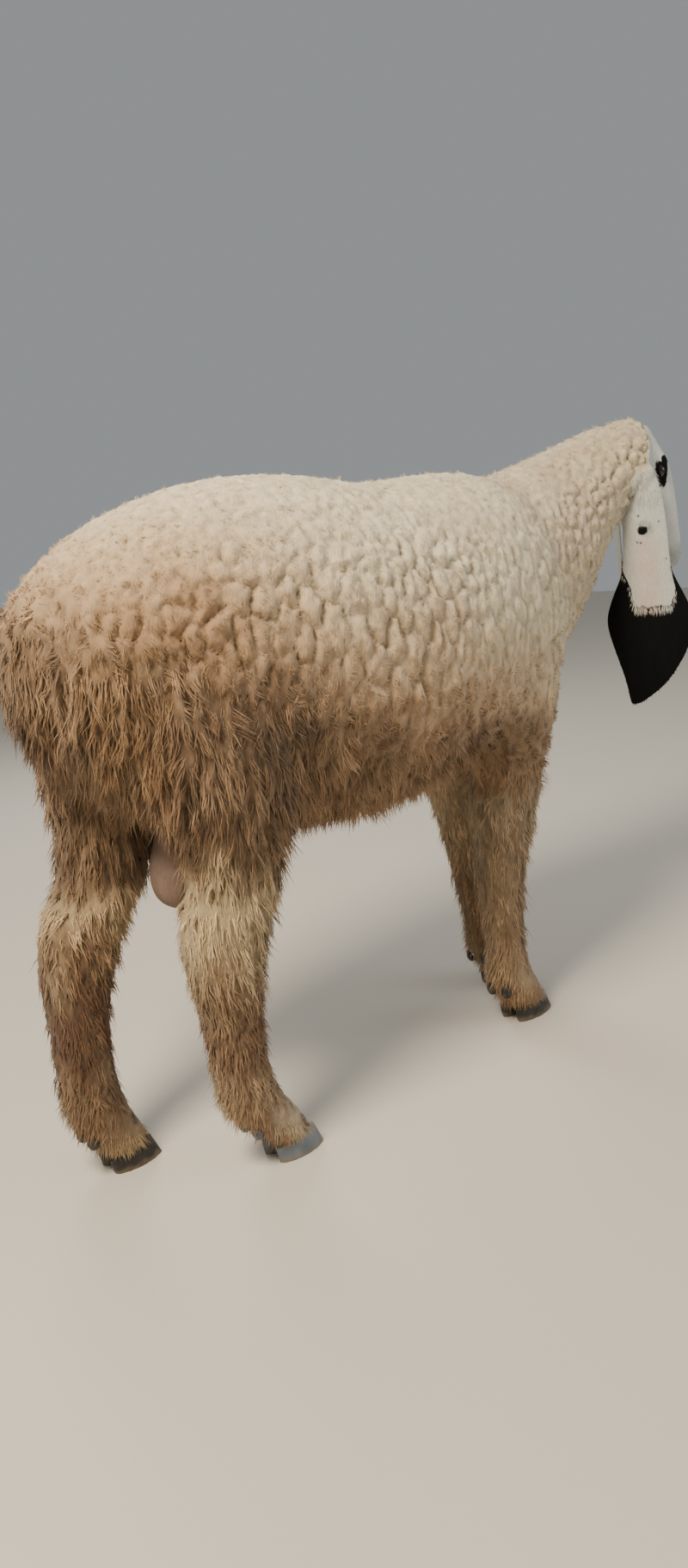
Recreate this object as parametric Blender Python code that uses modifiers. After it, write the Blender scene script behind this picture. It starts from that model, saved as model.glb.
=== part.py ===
"""Life-size still model of a standing lop-eared ram in a short fleece.

The solids follow the animal's outline out to the tips of its fleece. The body is one smooth form made from
lofted tubes, then parted by thin cuts into named pieces. Ears, eyes, tail, scrotum, hooves and dewclaws are
pieces of their own, trimmed where they meet the body.

Frame: metres, +Z up, floor at Z = 0, +X the way the trunk faces, +Y the animal's left.
"""

import math
from collections import namedtuple

import bmesh
import bpy
from mathutils import Matrix, Vector

# ---- Driving dimensions, in metres and degrees ----
GAP = 0.0003              # width of the cuts that part the body
TRIM_GAP = 0.0011         # clearance round a piece that is set against its neighbours
SIDES = 28                # sides of a lofted tube
RINGS_PER_SPAN = 4        # rings added between two stations of a loft
VOXEL = 0.008             # grain of the form that joins the tubes
BLEND_STEPS = 14          # smoothing passes that fillet the joins
BODY_TRIANGLES = 3500     # triangles of the joined body

HEAD_YAW = math.radians(-32)      # the head is turned to the animal's right
HEAD_PITCH = math.radians(-72)    # and hangs, nose down
HEAD_ORIGIN = Vector((0.738, -0.023, 0.925))   # behind the poll, on the head's middle plane
EYE_RADIUS = 0.0145
EYE_ALONG, EYE_DORSAL, EYE_SIDE = 0.074, 0.019, 0.0445

EAR_LENGTH = 0.425
EAR_THICKNESS = 0.0065
EAR_SIDES = 10
# How each ear hangs: how far its outer face is turned backwards, its share of the bow and of the lean in the
# outline below, and how far it is set out along its own width.
EAR_HANG = {
    "ear_right": (math.radians(23), 1.0, 1.0, 0.0),
    "ear_left": (math.radians(72), 0.0, 0.0, 0.85),
}
EAR_CUP = 3.0             # how strongly the blade's edges curl towards the head
EAR_ROOT = Vector((-0.004, 0.058, -0.040))     # forwards, sideways and up from the head's origin

CLAW_LENGTH, CLAW_WIDTH, CLAW_HEIGHT = 0.082, 0.031, 0.044
CLAW_LEVELS = ((0.0, 1.0, 0.0), (0.5, 0.94, -0.07), (1.3, 0.80, -0.20))   # height, size and set-back
CLEFT = 0.004             # between the two claws of a foot
CORONET_HEIGHT = 0.031    # of the slanted line where hoof meets hair, at the middle of the foot
CORONET_SLOPE = math.radians(11)
DEWCLAW_RADIUS = 0.011

KNEE_CUT = 0.300          # heights of the cuts that part the legs
HOCK_CUT = 0.330
LEG_TOP_CUT = 0.405
FETLOCK_CUT = 0.105

# One section of a tube: where it is, how wide it is to each side, and how far it reaches up and down from
# its centre. On a leg, whose tube points down, "up" is forwards and "down" is backwards.
Station = namedtuple("Station", "x y z side up down")

# The trunk, from the rump to the brisket: x, top and underline heights and half width.
TRUNK_PROFILE = (
    (-0.456, 0.795, 0.660, 0.070),
    (-0.425, 0.842, 0.590, 0.124),
    (-0.365, 0.884, 0.530, 0.166),
    (-0.270, 0.922, 0.490, 0.194),
    (-0.150, 0.942, 0.452, 0.208),
    (-0.030, 0.936, 0.428, 0.218),
    (0.090, 0.914, 0.428, 0.214),
    (0.210, 0.912, 0.440, 0.196),
    (0.310, 0.910, 0.460, 0.174),
    (0.400, 0.880, 0.492, 0.146),
    (0.455, 0.825, 0.545, 0.108),
    (0.482, 0.760, 0.620, 0.060),
)

# The neck rises and swings towards the turned head. Each section leans by its own pitch.
NECK = (
    (Station(0.300, 0.000, 0.712, 0.150, 0.185, 0.190), 8),
    (Station(0.415, 0.000, 0.735, 0.136, 0.165, 0.180), 20),
    (Station(0.510, -0.004, 0.780, 0.116, 0.140, 0.145), 28),
    (Station(0.600, -0.012, 0.834, 0.098, 0.106, 0.096), 30),
    (Station(0.675, -0.026, 0.876, 0.082, 0.081, 0.074), 14),
    (Station(0.730, -0.040, 0.892, 0.070, 0.068, 0.066), -10),
)

# The head, from the poll to the lips: distance along it, half width, and the dorsal and jaw outlines, all in
# the head's own frame.
HEAD_PROFILE = (
    (-0.034, 0.034, 0.020, -0.030),
    (-0.016, 0.054, 0.038, -0.052),
    (0.015, 0.062, 0.047, -0.074),
    (0.048, 0.063, 0.053, -0.086),
    (0.074, 0.061, 0.055, -0.087),
    (0.104, 0.054, 0.053, -0.079),
    (0.138, 0.045, 0.046, -0.065),
    (0.170, 0.038, 0.038, -0.053),
    (0.201, 0.036, 0.030, -0.047),
    (0.225, 0.035, 0.020, -0.044),
    (0.242, 0.029, 0.008, -0.040),
    (0.251, 0.016, -0.004, -0.031),
)

# Legs, from inside the trunk down to the foot. y is the distance from the middle plane.
FRONT_LEG = (
    Station(0.315, 0.085, 0.620, 0.074, 0.110, 0.110),
    Station(0.305, 0.092, 0.540, 0.074, 0.092, 0.098),
    Station(0.295, 0.086, 0.460, 0.066, 0.076, 0.080),
    Station(0.284, 0.078, 0.390, 0.058, 0.064, 0.064),
    Station(0.272, 0.073, 0.325, 0.052, 0.054, 0.052),
    Station(0.262, 0.070, 0.260, 0.045, 0.045, 0.044),
    Station(0.256, 0.069, 0.190, 0.040, 0.039, 0.039),
    Station(0.255, 0.068, 0.130, 0.037, 0.037, 0.037),
    Station(0.258, 0.067, 0.090, 0.040, 0.042, 0.042),
    Station(0.270, 0.066, 0.058, 0.039, 0.041, 0.041),
    Station(0.284, 0.065, 0.034, 0.037, 0.040, 0.037),
    Station(0.288, 0.065, 0.022, 0.034, 0.037, 0.034),
)
HIND_LEG = (
    Station(-0.285, 0.085, 0.740, 0.090, 0.130, 0.130),
    Station(-0.272, 0.100, 0.640, 0.092, 0.132, 0.135),
    Station(-0.262, 0.106, 0.555, 0.086, 0.118, 0.122),
    Station(-0.256, 0.104, 0.485, 0.074, 0.094, 0.094),
    Station(-0.262, 0.098, 0.425, 0.065, 0.080, 0.082),
    Station(-0.281, 0.094, 0.370, 0.061, 0.072, 0.075),
    Station(-0.293, 0.092, 0.318, 0.055, 0.062, 0.067),
    Station(-0.297, 0.090, 0.255, 0.048, 0.052, 0.054),
    Station(-0.298, 0.088, 0.185, 0.045, 0.047, 0.048),
    Station(-0.292, 0.087, 0.125, 0.044, 0.047, 0.048),
    Station(-0.277, 0.086, 0.086, 0.042, 0.048, 0.046),
    Station(-0.255, 0.086, 0.056, 0.039, 0.042, 0.042),
    Station(-0.238, 0.086, 0.034, 0.036, 0.038, 0.036),
    Station(-0.234, 0.086, 0.022, 0.032, 0.035, 0.032),
)
# The left hind leg stands further back than the right one, by this much at each height.
HIND_STRIDE = (
    (0.0, -0.176), (0.12, -0.150), (0.25, -0.136), (0.37, -0.112),
    (0.48, -0.070), (0.60, -0.020), (0.74, 0.0),
)

# The left front leg stands a little further forwards than the right one.
FRONT_STRIDE = ((0.0, 0.088), (0.13, 0.085), (0.25, 0.070), (0.36, 0.050), (0.48, 0.020), (0.62, 0.0))

# The tail, from the rump down to its woolly end.
TAIL = (
    Station(-0.400, 0.004, 0.840, 0.045, 0.040, 0.032),
    Station(-0.424, 0.006, 0.800, 0.060, 0.050, 0.050),
    Station(-0.436, 0.008, 0.735, 0.066, 0.052, 0.054),
    Station(-0.438, 0.010, 0.680, 0.060, 0.048, 0.049),
    Station(-0.434, 0.010, 0.635, 0.046, 0.040, 0.037),
    Station(-0.430, 0.010, 0.602, 0.020, 0.020, 0.016),
)

# The sheath, a low ridge under the belly.
SHEATH = (
    Station(-0.215, 0, 0.480, 0.016, 0.020, 0.016),
    Station(-0.185, 0, 0.468, 0.026, 0.030, 0.030),
    Station(-0.140, 0, 0.458, 0.030, 0.030, 0.034),
    Station(-0.090, 0, 0.455, 0.026, 0.030, 0.028),
    Station(-0.040, 0, 0.455, 0.016, 0.020, 0.016),
)

# The scrotum, from between the thighs down.
SCROTUM = (
    Station(-0.262, 0, 0.560, 0.030, 0.028, 0.028),
    Station(-0.270, 0, 0.480, 0.042, 0.040, 0.040),
    Station(-0.274, 0, 0.440, 0.052, 0.052, 0.052),
    Station(-0.277, 0, 0.412, 0.052, 0.054, 0.054),
    Station(-0.279, 0, 0.388, 0.045, 0.047, 0.047),
    Station(-0.281, 0, 0.372, 0.029, 0.028, 0.028),
    Station(-0.281, 0, 0.367, 0.006, 0.006, 0.006),
)

# The ear blade, from root to tip: share of its length, half width, bow out from the cheek, and lean
# forwards.
EAR_OUTLINE = (
    (0.00, 0.017, 0.000, 0.000),
    (0.08, 0.030, 0.034, 0.004),
    (0.18, 0.036, 0.044, 0.007),
    (0.32, 0.040, 0.048, 0.007),
    (0.44, 0.043, 0.049, 0.005),
    (0.52, 0.058, 0.050, 0.003),
    (0.62, 0.076, 0.051, 0.003),
    (0.70, 0.076, 0.051, 0.005),
    (0.80, 0.062, 0.049, 0.003),
    (0.89, 0.043, 0.046, -0.005),
    (0.95, 0.027, 0.042, -0.016),
    (1.00, 0.008, 0.037, -0.031),
)

FLEECE, LEG_WOOL, FACE, BLACK_HAIR = "fleece", "leg_wool", "face_hair", "ear_hair"
BARE_SKIN, HOOF, EYE = "bare_skin", "hoof_horn", "eye"
FINISHES = {
    FLEECE: ((0.56, 0.46, 0.33), 0.95),
    LEG_WOOL: ((0.42, 0.30, 0.19), 0.95),
    FACE: ((0.68, 0.68, 0.64), 0.70),
    BLACK_HAIR: ((0.02, 0.02, 0.02), 0.45),
    BARE_SKIN: ((0.36, 0.28, 0.23), 0.60),
    HOOF: ((0.06, 0.06, 0.06), 0.50),
    EYE: ((0.015, 0.010, 0.008), 0.05),
}


# ---- Small tools ----
def material(name):
    """The finish of one kind of surface."""
    found = bpy.data.materials.get(name)
    if found:
        return found
    made = bpy.data.materials.new(name)
    made.use_nodes = True
    shader = made.node_tree.nodes["Principled BSDF"]
    colour, roughness = FINISHES[name]
    shader.inputs["Base Color"].default_value = (*colour, 1)
    shader.inputs["Roughness"].default_value = roughness
    shader.inputs["Metallic"].default_value = 0.0
    made.diffuse_color = (*colour, 1)
    return made


def new_object(name, mesh, collection, finish=None):
    obj = bpy.data.objects.new(name, mesh)
    collection.objects.link(obj)
    if finish:
        mesh.materials.clear()
        mesh.materials.append(material(finish))
    return obj


def evaluated_mesh(obj):
    """The object's mesh as its modifiers leave it."""
    graph = bpy.context.evaluated_depsgraph_get()
    return bpy.data.meshes.new_from_object(obj.evaluated_get(graph))


def apply_modifiers(obj):
    mesh = evaluated_mesh(obj)
    obj.modifiers.clear()
    obj.data = mesh


def spline_between(before, start, end, after, t):
    """A point on the smooth curve from start to end, each a tuple of numbers."""
    return tuple(
        0.5 * (2 * b + (c - a) * t + (2 * a - 5 * b + 4 * c - d) * t * t + (3 * b - a - 3 * c + d) * t ** 3)
        for a, b, c, d in zip(before, start, end, after)
    )


def refined(rows, steps=RINGS_PER_SPAN):
    """Rows of numbers with smooth rows added between them."""
    out = []
    for i in range(len(rows) - 1):
        before, after = rows[max(i - 1, 0)], rows[min(i + 2, len(rows) - 1)]
        out += [spline_between(before, rows[i], rows[i + 1], after, k / steps) for k in range(steps)]
    return out + [tuple(rows[-1])]


def ring(centre, across, up, side, reach_up, reach_down, power=2.0, sides=SIDES):
    """Points round one section: an oval whose upper and lower halves differ."""
    points = []
    for k in range(sides):
        angle = 2 * math.pi * k / sides
        c, s = math.cos(angle), math.sin(angle)
        u = side * math.copysign(abs(c) ** (2 / power), c)
        v = (reach_up if s > 0 else reach_down) * math.copysign(abs(s) ** (2 / power), s)
        points.append(centre + across * u + up * v)
    return points


def loft(name, rings, collection):
    """A closed tube through the rings."""
    work = bmesh.new()
    loops = [[work.verts.new(p) for p in points] for points in rings]
    for first, second in zip(loops, loops[1:]):
        for k in range(len(first)):
            n = (k + 1) % len(first)
            work.faces.new((first[k], first[n], second[n], second[k]))
    for points in (loops[0], loops[-1]):
        middle = work.verts.new(sum((v.co for v in points), Vector()) / len(points))
        for k in range(len(points)):
            work.faces.new((points[k], points[(k + 1) % len(points)], middle))
    bmesh.ops.recalc_face_normals(work, faces=work.faces)
    mesh = bpy.data.meshes.new(name)
    work.to_mesh(mesh)
    work.free()
    return new_object(name, mesh, collection)


def joined(name, pieces, collection):
    """One object that holds the meshes of all the pieces, which it takes the place of."""
    work = bmesh.new()
    for piece in pieces:
        work.from_mesh(piece.data)
        bpy.data.objects.remove(piece)
    mesh = bpy.data.meshes.new(name)
    work.to_mesh(mesh)
    work.free()
    return new_object(name, mesh, collection)


def half(mesh, point, normal):
    """What lies behind the plane, closed with a flat face."""
    work = bmesh.new()
    work.from_mesh(mesh)
    geometry = work.verts[:] + work.edges[:] + work.faces[:]
    bmesh.ops.bisect_plane(work, geom=geometry, plane_co=point, plane_no=normal, clear_outer=True)
    rim = [e for e in work.edges if e.is_boundary]
    bmesh.ops.holes_fill(work, edges=rim, sides=0)
    bmesh.ops.triangulate(work, faces=[f for f in work.faces if len(f.verts) > 4])
    cut = bpy.data.meshes.new(mesh.name)
    work.to_mesh(cut)
    work.free()
    return cut


def parted(mesh, point, normal):
    """The two sides of a thin cut: behind the plane, and in front of it."""
    point, normal = Vector(point), Vector(normal).normalized()
    step = normal * GAP / 2
    return half(mesh, point - step, normal), half(mesh, point + step, -normal)


def separate_bodies(mesh):
    """Each loose body of the mesh as a mesh of its own."""
    work = bmesh.new()
    work.from_mesh(mesh)
    left, bodies = set(work.verts), []
    while left:
        found, edge = set(), [left.pop()]
        while edge:
            vertex = edge.pop()
            if vertex in found:
                continue
            found.add(vertex)
            edge += [e.other_vert(vertex) for e in vertex.link_edges]
        left -= found
        bodies.append({v.index for v in found})
    work.free()
    made = []
    for body in bodies:
        copy = bmesh.new()
        copy.from_mesh(mesh)
        bmesh.ops.delete(copy, geom=[v for v in copy.verts if v.index not in body], context="VERTS")
        part = bpy.data.meshes.new(mesh.name)
        copy.to_mesh(part)
        copy.free()
        made.append(part)
    return made


def middle_of(mesh):
    return sum((v.co for v in mesh.vertices), Vector()) / len(mesh.vertices)


def trimmed_by(piece, others, cutters):
    """Takes away what the piece shares with the others, and a thin gap round them."""
    for other in others:
        cutter = new_object(f"trim_{piece.name}_{other.name}", other.data.copy(), cutters)
        grow = cutter.modifiers.new("gap", "DISPLACE")
        grow.strength, grow.mid_level = TRIM_GAP, 0.0
        apply_modifiers(cutter)
        hide_helper(cutter)
        cut = piece.modifiers.new("trim", "BOOLEAN")
        cut.operation, cut.object = "DIFFERENCE", cutter
        apply_modifiers(piece)
        bpy.data.objects.remove(cutter)
    keep_largest(piece)


def keep_largest(piece):
    """Drops the crumbs that a trim leaves behind."""
    bodies = separate_bodies(piece.data)
    finish = list(piece.data.materials)
    piece.data = max(bodies, key=lambda mesh: len(mesh.vertices))
    piece.data.materials.clear()
    for entry in finish:
        piece.data.materials.append(entry)


def hide_helper(obj):
    obj.hide_render = True
    obj.display_type = "WIRE"


def lighten(obj, triangles):
    """Fewer, larger faces with the same form."""
    obj.data.calc_loop_triangles()
    share = triangles / max(len(obj.data.loop_triangles), 1)
    if share < 1:
        less = obj.modifiers.new("lighten", "DECIMATE")
        less.ratio = share
        apply_modifiers(obj)


# ---- The joined body ----
def upright_ring(station, pitch=0.0, yaw=0.0, power=2.0):
    """A section whose tube points forwards, raised by pitch and turned by yaw."""
    turn = Matrix.Rotation(yaw, 3, "Z") @ Matrix.Rotation(-pitch, 3, "Y")
    across, up = turn @ Vector((0, 1, 0)), turn @ Vector((0, 0, 1))
    return ring(Vector(station[:3]), across, up, station.side, station.up, station.down, power)


def trunk_tube(collection):
    rings = []
    for x, top, bottom, side in refined(TRUNK_PROFILE):
        widest = bottom + 0.50 * (top - bottom)
        station = Station(x, 0, widest, side, top - widest, widest - bottom)
        rings.append(upright_ring(station, power=2.25))
    return loft("trunk_tube", rings, collection)


def neck_tube(collection):
    rows = refined([(*station, pitch) for station, pitch in NECK])
    rings = []
    for k, row in enumerate(rows):
        yaw = HEAD_YAW * 0.55 * k / (len(rows) - 1)
        rings.append(upright_ring(Station(*row[:6]), math.radians(row[6]), yaw))
    return loft("neck_tube", rings, collection)


def head_turn():
    """From the head's own frame, +X towards the nose and +Z dorsal, to the model's."""
    turn = Matrix.Rotation(HEAD_YAW, 4, "Z") @ Matrix.Rotation(-HEAD_PITCH, 4, "Y")
    return Matrix.Translation(HEAD_ORIGIN) @ turn


def in_head(along, side, dorsal):
    return head_turn() @ Vector((along, side, dorsal))


def head_tube(collection):
    turn = head_turn()
    across, up = (turn.to_3x3() @ Vector(v) for v in ((0, 1, 0), (0, 0, 1)))
    rings = []
    for along, side, dorsal, jaw in refined(HEAD_PROFILE):
        widest = jaw + 0.60 * (dorsal - jaw)
        centre = turn @ Vector((along, 0, widest))
        rings.append(ring(centre, across, up, side, dorsal - widest, widest - jaw, 2.2))
    return loft("head_tube", rings, collection)


def stride_at(front, height):
    """How far a left leg is set forwards of the right one at this height."""
    table = FRONT_STRIDE if front else HIND_STRIDE
    for (low, first), (high, second) in zip(table, table[1:]):
        if height <= high:
            return first + (second - first) * (height - low) / (high - low)
    return table[-1][1]


def leg_stations(front, side):
    """The stations of one leg. side is 1 on the left and -1 on the right."""
    stations = []
    for s in FRONT_LEG if front else HIND_LEG:
        x = s.x + (stride_at(front, s.z) if side > 0 else 0.0)
        stations.append(s._replace(x=x, y=s.y * side))
    return stations


def hanging_tube(name, stations, collection, steps=RINGS_PER_SPAN, sides=SIDES):
    """A tube that points down: a leg, the tail or the scrotum."""
    forward, across = Vector((1, 0, 0)), Vector((0, -1, 0))
    rings = []
    for row in refined(stations, steps):
        s = Station(*row)
        rings.append(ring(Vector(row[:3]), across, forward, s.side, s.up, s.down, sides=sides))
    return loft(name, rings, collection)


def sheath_tube(collection):
    return loft("sheath_tube", [upright_ring(Station(*row)) for row in refined(SHEATH)], collection)


def body_form(collection):
    """All tubes as one smooth skin."""
    tubes = [trunk_tube(collection), sheath_tube(collection), neck_tube(collection), head_tube(collection)]
    for front in (True, False):
        tubes += [hanging_tube("leg_tube", leg_stations(front, side), collection) for side in (1, -1)]
    body = joined("body", tubes, collection)
    remesh = body.modifiers.new("join", "REMESH")
    remesh.mode, remesh.voxel_size = "VOXEL", VOXEL
    blend = body.modifiers.new("fillet", "SMOOTH")
    blend.factor, blend.iterations = 0.5, BLEND_STEPS
    apply_modifiers(body)
    lighten(body, BODY_TRIANGLES)
    return body


# ---- Parting the body ----
def coronet_plane(front, side):
    """A point on, and the upward normal of, the slanted plane where a foot meets its hoof."""
    foot = leg_stations(front, side)[-2]
    normal = Vector((-math.sin(CORONET_SLOPE), 0, math.cos(CORONET_SLOPE)))
    return Vector((foot.x, foot.y, CORONET_HEIGHT)), normal


def part_leg(mesh, finish, collection):
    """A leg below the trunk, parted at its joints and cut off at the coronet."""
    centre = middle_of(mesh)
    front, side = centre.x > 0, (1 if centre.y > 0 else -1)
    name = f"{'front' if front else 'hind'}_{'left' if side > 0 else 'right'}"
    point, normal = coronet_plane(front, side)
    mesh = half(mesh, point + normal * GAP, -normal)
    lower, upper = parted(mesh, (0, 0, KNEE_CUT if front else HOCK_CUT), (0, 0, 1))
    foot, cannon = parted(lower, (0, 0, FETLOCK_CUT), (0, 0, 1))
    new_object(f"leg_{name}_upper", upper, collection, finish)
    new_object(f"leg_{name}_cannon", cannon, collection, finish)
    return new_object(f"leg_{name}_foot", foot, collection, finish)


def part_body(body, collection):
    """Head, neck, trunk and legs from the one form."""
    below, rest = parted(body.data, (0, 0, LEG_TOP_CUT), (0, 0, 1))
    feet = [part_leg(mesh, LEG_WOOL, collection) for mesh in separate_bodies(below)]
    neck_line = Vector((0.430, 0, 0.700)), Vector((0.88, 0, 0.47))
    trunk, fore = parted(rest, *neck_line)
    head_line = in_head(0.0, 0, -0.045), (head_turn().to_3x3() @ Vector((0.42, 0, 0.90)))
    neck, head = parted(fore, *head_line)
    made = {
        "trunk": new_object("trunk", trunk, collection, FLEECE),
        "neck": new_object("neck", neck, collection, FLEECE),
        "head": new_object("head", head, collection, FACE),
    }
    bpy.data.objects.remove(body)
    return made, feet


# ---- Pieces of their own ----
def eyes(head, collection, cutters):
    """Two eyeballs, each in a socket cut into the head."""
    for name, side in (("left", 1), ("right", -1)):
        place = in_head(EYE_ALONG, side * EYE_SIDE, EYE_DORSAL)
        socket = sphere("socket", place, EYE_RADIUS + GAP, cutters)
        hide_helper(socket)
        cut = head.modifiers.new("socket", "BOOLEAN")
        cut.operation, cut.object = "DIFFERENCE", socket
        apply_modifiers(head)
        bpy.data.objects.remove(socket)
        ball = sphere(f"eye_{name}", place, EYE_RADIUS, collection, EYE)
        ball.data.shade_smooth()


def sphere(name, place, radius, collection, finish=None, sides=12):
    work = bmesh.new()
    bmesh.ops.create_uvsphere(work, u_segments=sides, v_segments=sides // 2 + 1, radius=radius)
    bmesh.ops.triangulate(work, faces=work.faces)
    bmesh.ops.translate(work, verts=work.verts, vec=place)
    mesh = bpy.data.meshes.new(name)
    work.to_mesh(mesh)
    work.free()
    return new_object(name, mesh, collection, finish)


def ear(name, side, collection):
    """A hanging blade on one side of the head. It bows out from the cheek and ends in a point."""
    facing, bowing, leaning, setting = EAR_HANG[name]
    turn = Matrix.Rotation(HEAD_YAW, 3, "Z")
    outward = turn @ Vector((-math.sin(facing), side * math.cos(facing), 0))
    forward = turn @ Vector((math.cos(facing), side * math.sin(facing), 0))
    root = HEAD_ORIGIN + turn @ Vector((EAR_ROOT.x, side * EAR_ROOT.y, EAR_ROOT.z))
    rings = []
    for share, half_width, bow, lean in refined(EAR_OUTLINE, 2):
        ahead = lean * leaning + half_width * setting * min(share / 0.1, 1)
        centre = root + Vector((0, 0, -EAR_LENGTH * share)) + outward * (bow * bowing) + forward * ahead
        thick = EAR_THICKNESS * (1.0 - 0.45 * share + 0.6 * max(0.0, 1 - share / 0.1))
        points = []
        for k in range(EAR_SIDES):
            angle = 2 * math.pi * k / EAR_SIDES
            u, v = half_width * math.cos(angle), thick / 2 * math.sin(angle)
            cup = EAR_CUP * u * u * (1 - 0.35 * share)
            points.append(centre + forward * u + outward * (v - cup))
        rings.append(points)
    blade = loft(name, rings, collection)
    blade.data.materials.append(material(BLACK_HAIR))
    return blade


def ears(made, collection, cutters):
    for name, side in (("ear_left", 1), ("ear_right", -1)):
        trimmed_by(ear(name, side, collection), (made["head"], made["neck"]), cutters)


def tail(made, collection, cutters):
    piece = hanging_tube("tail", TAIL, collection, 2, 16)
    piece.data.materials.append(material(FLEECE))
    trimmed_by(piece, (made["trunk"],), cutters)


def scrotum(made, collection, cutters):
    """A bag that hangs between the thighs."""
    piece = hanging_tube("scrotum", SCROTUM, collection, 2, 14)
    piece.data.materials.append(material(BARE_SKIN))
    thighs = [o for o in collection.objects if o.name.startswith("leg_hind_") and "upper" in o.name]
    trimmed_by(piece, [made["trunk"], *thighs], cutters)


def claw(name, front, side, left, collection):
    """One of a foot's two claws: a wall that narrows upwards, on a flat sole."""
    foot = leg_stations(front, side)[-2]
    y = foot.y + left * (CLEFT / 2 + CLAW_WIDTH / 2)
    length = CLAW_LENGTH * (1.0 if front else 0.97)
    heel = foot.x - 0.40 * length
    rings = []
    for level, shrink, shift in CLAW_LEVELS:
        points = []
        for k in range(12):
            angle = 2 * math.pi * k / 12
            c, s = math.cos(angle), math.sin(angle)
            pointed = 1 - 0.45 * max(c, 0) ** 2
            x = heel + length * (0.5 + shift + 0.5 * shrink * c)
            points.append(Vector((x, y + CLAW_WIDTH / 2 * shrink * s * pointed, CLAW_HEIGHT * level)))
        rings.append(points)
    piece = loft(name, rings, collection)
    point, normal = coronet_plane(front, side)
    piece.data = half(piece.data, point - normal * GAP, normal)
    piece.data.materials.append(material(HOOF))
    return piece


def feet_horn(feet, collection, cutters):
    """Claws under every foot, and two dewclaws behind it."""
    for foot in feet:
        front, side = "front" in foot.name, (1 if "left" in foot.name else -1)
        name = foot.name.removeprefix("leg_").removesuffix("_foot")
        fetlock = leg_stations(front, side)[-3]
        for left, word in ((side, "outer"), (-side, "inner")):
            claw(f"hoof_{name}_{word}", front, side, left, collection)
            place = Vector((fetlock.x - fetlock.down + 0.002, fetlock.y + left * 0.016, fetlock.z + 0.006))
            bud = sphere(f"dewclaw_{name}_{word}", place, DEWCLAW_RADIUS, collection, HOOF, 8)
            stretch = Matrix.Diagonal((1, 0.85, 1.35, 1))
            bud.data.transform(Matrix.Translation(place) @ stretch @ Matrix.Translation(-place))
            trimmed_by(bud, (foot,), cutters)


def centre_over_origin(collection):
    """Brings the middle of the whole over the origin."""
    corners = [v.co for obj in collection.objects for v in obj.data.vertices]
    middle = [(min(c[i] for c in corners) + max(c[i] for c in corners)) / 2 for i in (0, 1)]
    for obj in collection.objects:
        obj.data.transform(Matrix.Translation((-middle[0], -middle[1], 0)))
        obj.data.update()


def main():
    for obj in list(bpy.data.objects):
        bpy.data.objects.remove(obj)
    parts = bpy.data.collections.new("lop_eared_ram")
    cutters = bpy.data.collections.new("cutters")
    for collection in (parts, cutters):
        bpy.context.scene.collection.children.link(collection)
    made, feet = part_body(body_form(parts), parts)
    ears(made, parts, cutters)
    eyes(made["head"], parts, cutters)
    tail(made, parts, cutters)
    scrotum(made, parts, cutters)
    feet_horn(feet, parts, cutters)
    centre_over_origin(parts)


main()
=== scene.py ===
"""Looks of a life-size standing ram in a short fleece: skin, wool, hair, eyes, hooves and a plain studio."""

import itertools
import math
from collections import namedtuple
from contextlib import contextmanager
from functools import lru_cache

import bmesh
import bpy
import numpy as np
from mathutils import Matrix, Vector
from mathutils.bvhtree import BVHTree
from mathutils.kdtree import KDTree


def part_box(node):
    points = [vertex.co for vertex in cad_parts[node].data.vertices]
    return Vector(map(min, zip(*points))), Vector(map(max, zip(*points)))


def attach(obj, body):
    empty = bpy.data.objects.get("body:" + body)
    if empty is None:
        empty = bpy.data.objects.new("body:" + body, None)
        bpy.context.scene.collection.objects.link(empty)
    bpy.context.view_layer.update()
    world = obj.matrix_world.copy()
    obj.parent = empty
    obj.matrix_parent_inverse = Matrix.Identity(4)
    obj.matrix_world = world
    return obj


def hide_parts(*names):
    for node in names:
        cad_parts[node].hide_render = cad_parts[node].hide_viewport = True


bl_info = {
    "name": "Standing ram",
    "version": (1, 0, 0),
    "blender": (4, 5, 0),
    "location": "3D View > Sidebar > Ram",
    "description": "Skin, fleece, eyes and hooves of a life-size ram",
    "category": "Object",
}

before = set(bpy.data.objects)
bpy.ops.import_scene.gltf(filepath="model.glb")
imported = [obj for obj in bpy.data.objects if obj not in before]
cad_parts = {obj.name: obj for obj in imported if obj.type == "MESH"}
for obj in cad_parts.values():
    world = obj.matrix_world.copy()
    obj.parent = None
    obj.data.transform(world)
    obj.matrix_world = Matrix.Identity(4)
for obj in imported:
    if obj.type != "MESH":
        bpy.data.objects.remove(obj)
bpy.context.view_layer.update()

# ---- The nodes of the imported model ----
CORNERS = ("front_left", "front_right", "hind_left", "hind_right")
LEG_NODES = tuple(f"leg_{corner}_{part}" for corner in CORNERS for part in ("upper", "cannon", "foot"))
WOOLLY_NODES = ("trunk", "neck", "head", "tail") + LEG_NODES
EAR_NODES = ("ear_left", "ear_right")
FLESH_NODES = WOOLLY_NODES + EAR_NODES + ("scrotum",)
EYE_NODES = ("eye_left", "eye_right")
HOOF_NODES = tuple(f"hoof_{corner}_{claw}" for corner in CORNERS for claw in ("outer", "inner"))
DEWCLAW_NODES = tuple(f"dewclaw_{corner}_{claw}" for corner in CORNERS for claw in ("outer", "inner"))


def middle(item):
    """The middle of a node's box."""
    low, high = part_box(item)
    return (np.array(low) + np.array(high)) / 2


def size_of(item):
    """The three sides of a node's box."""
    low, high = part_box(item)
    return np.array(high) - np.array(low)


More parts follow.
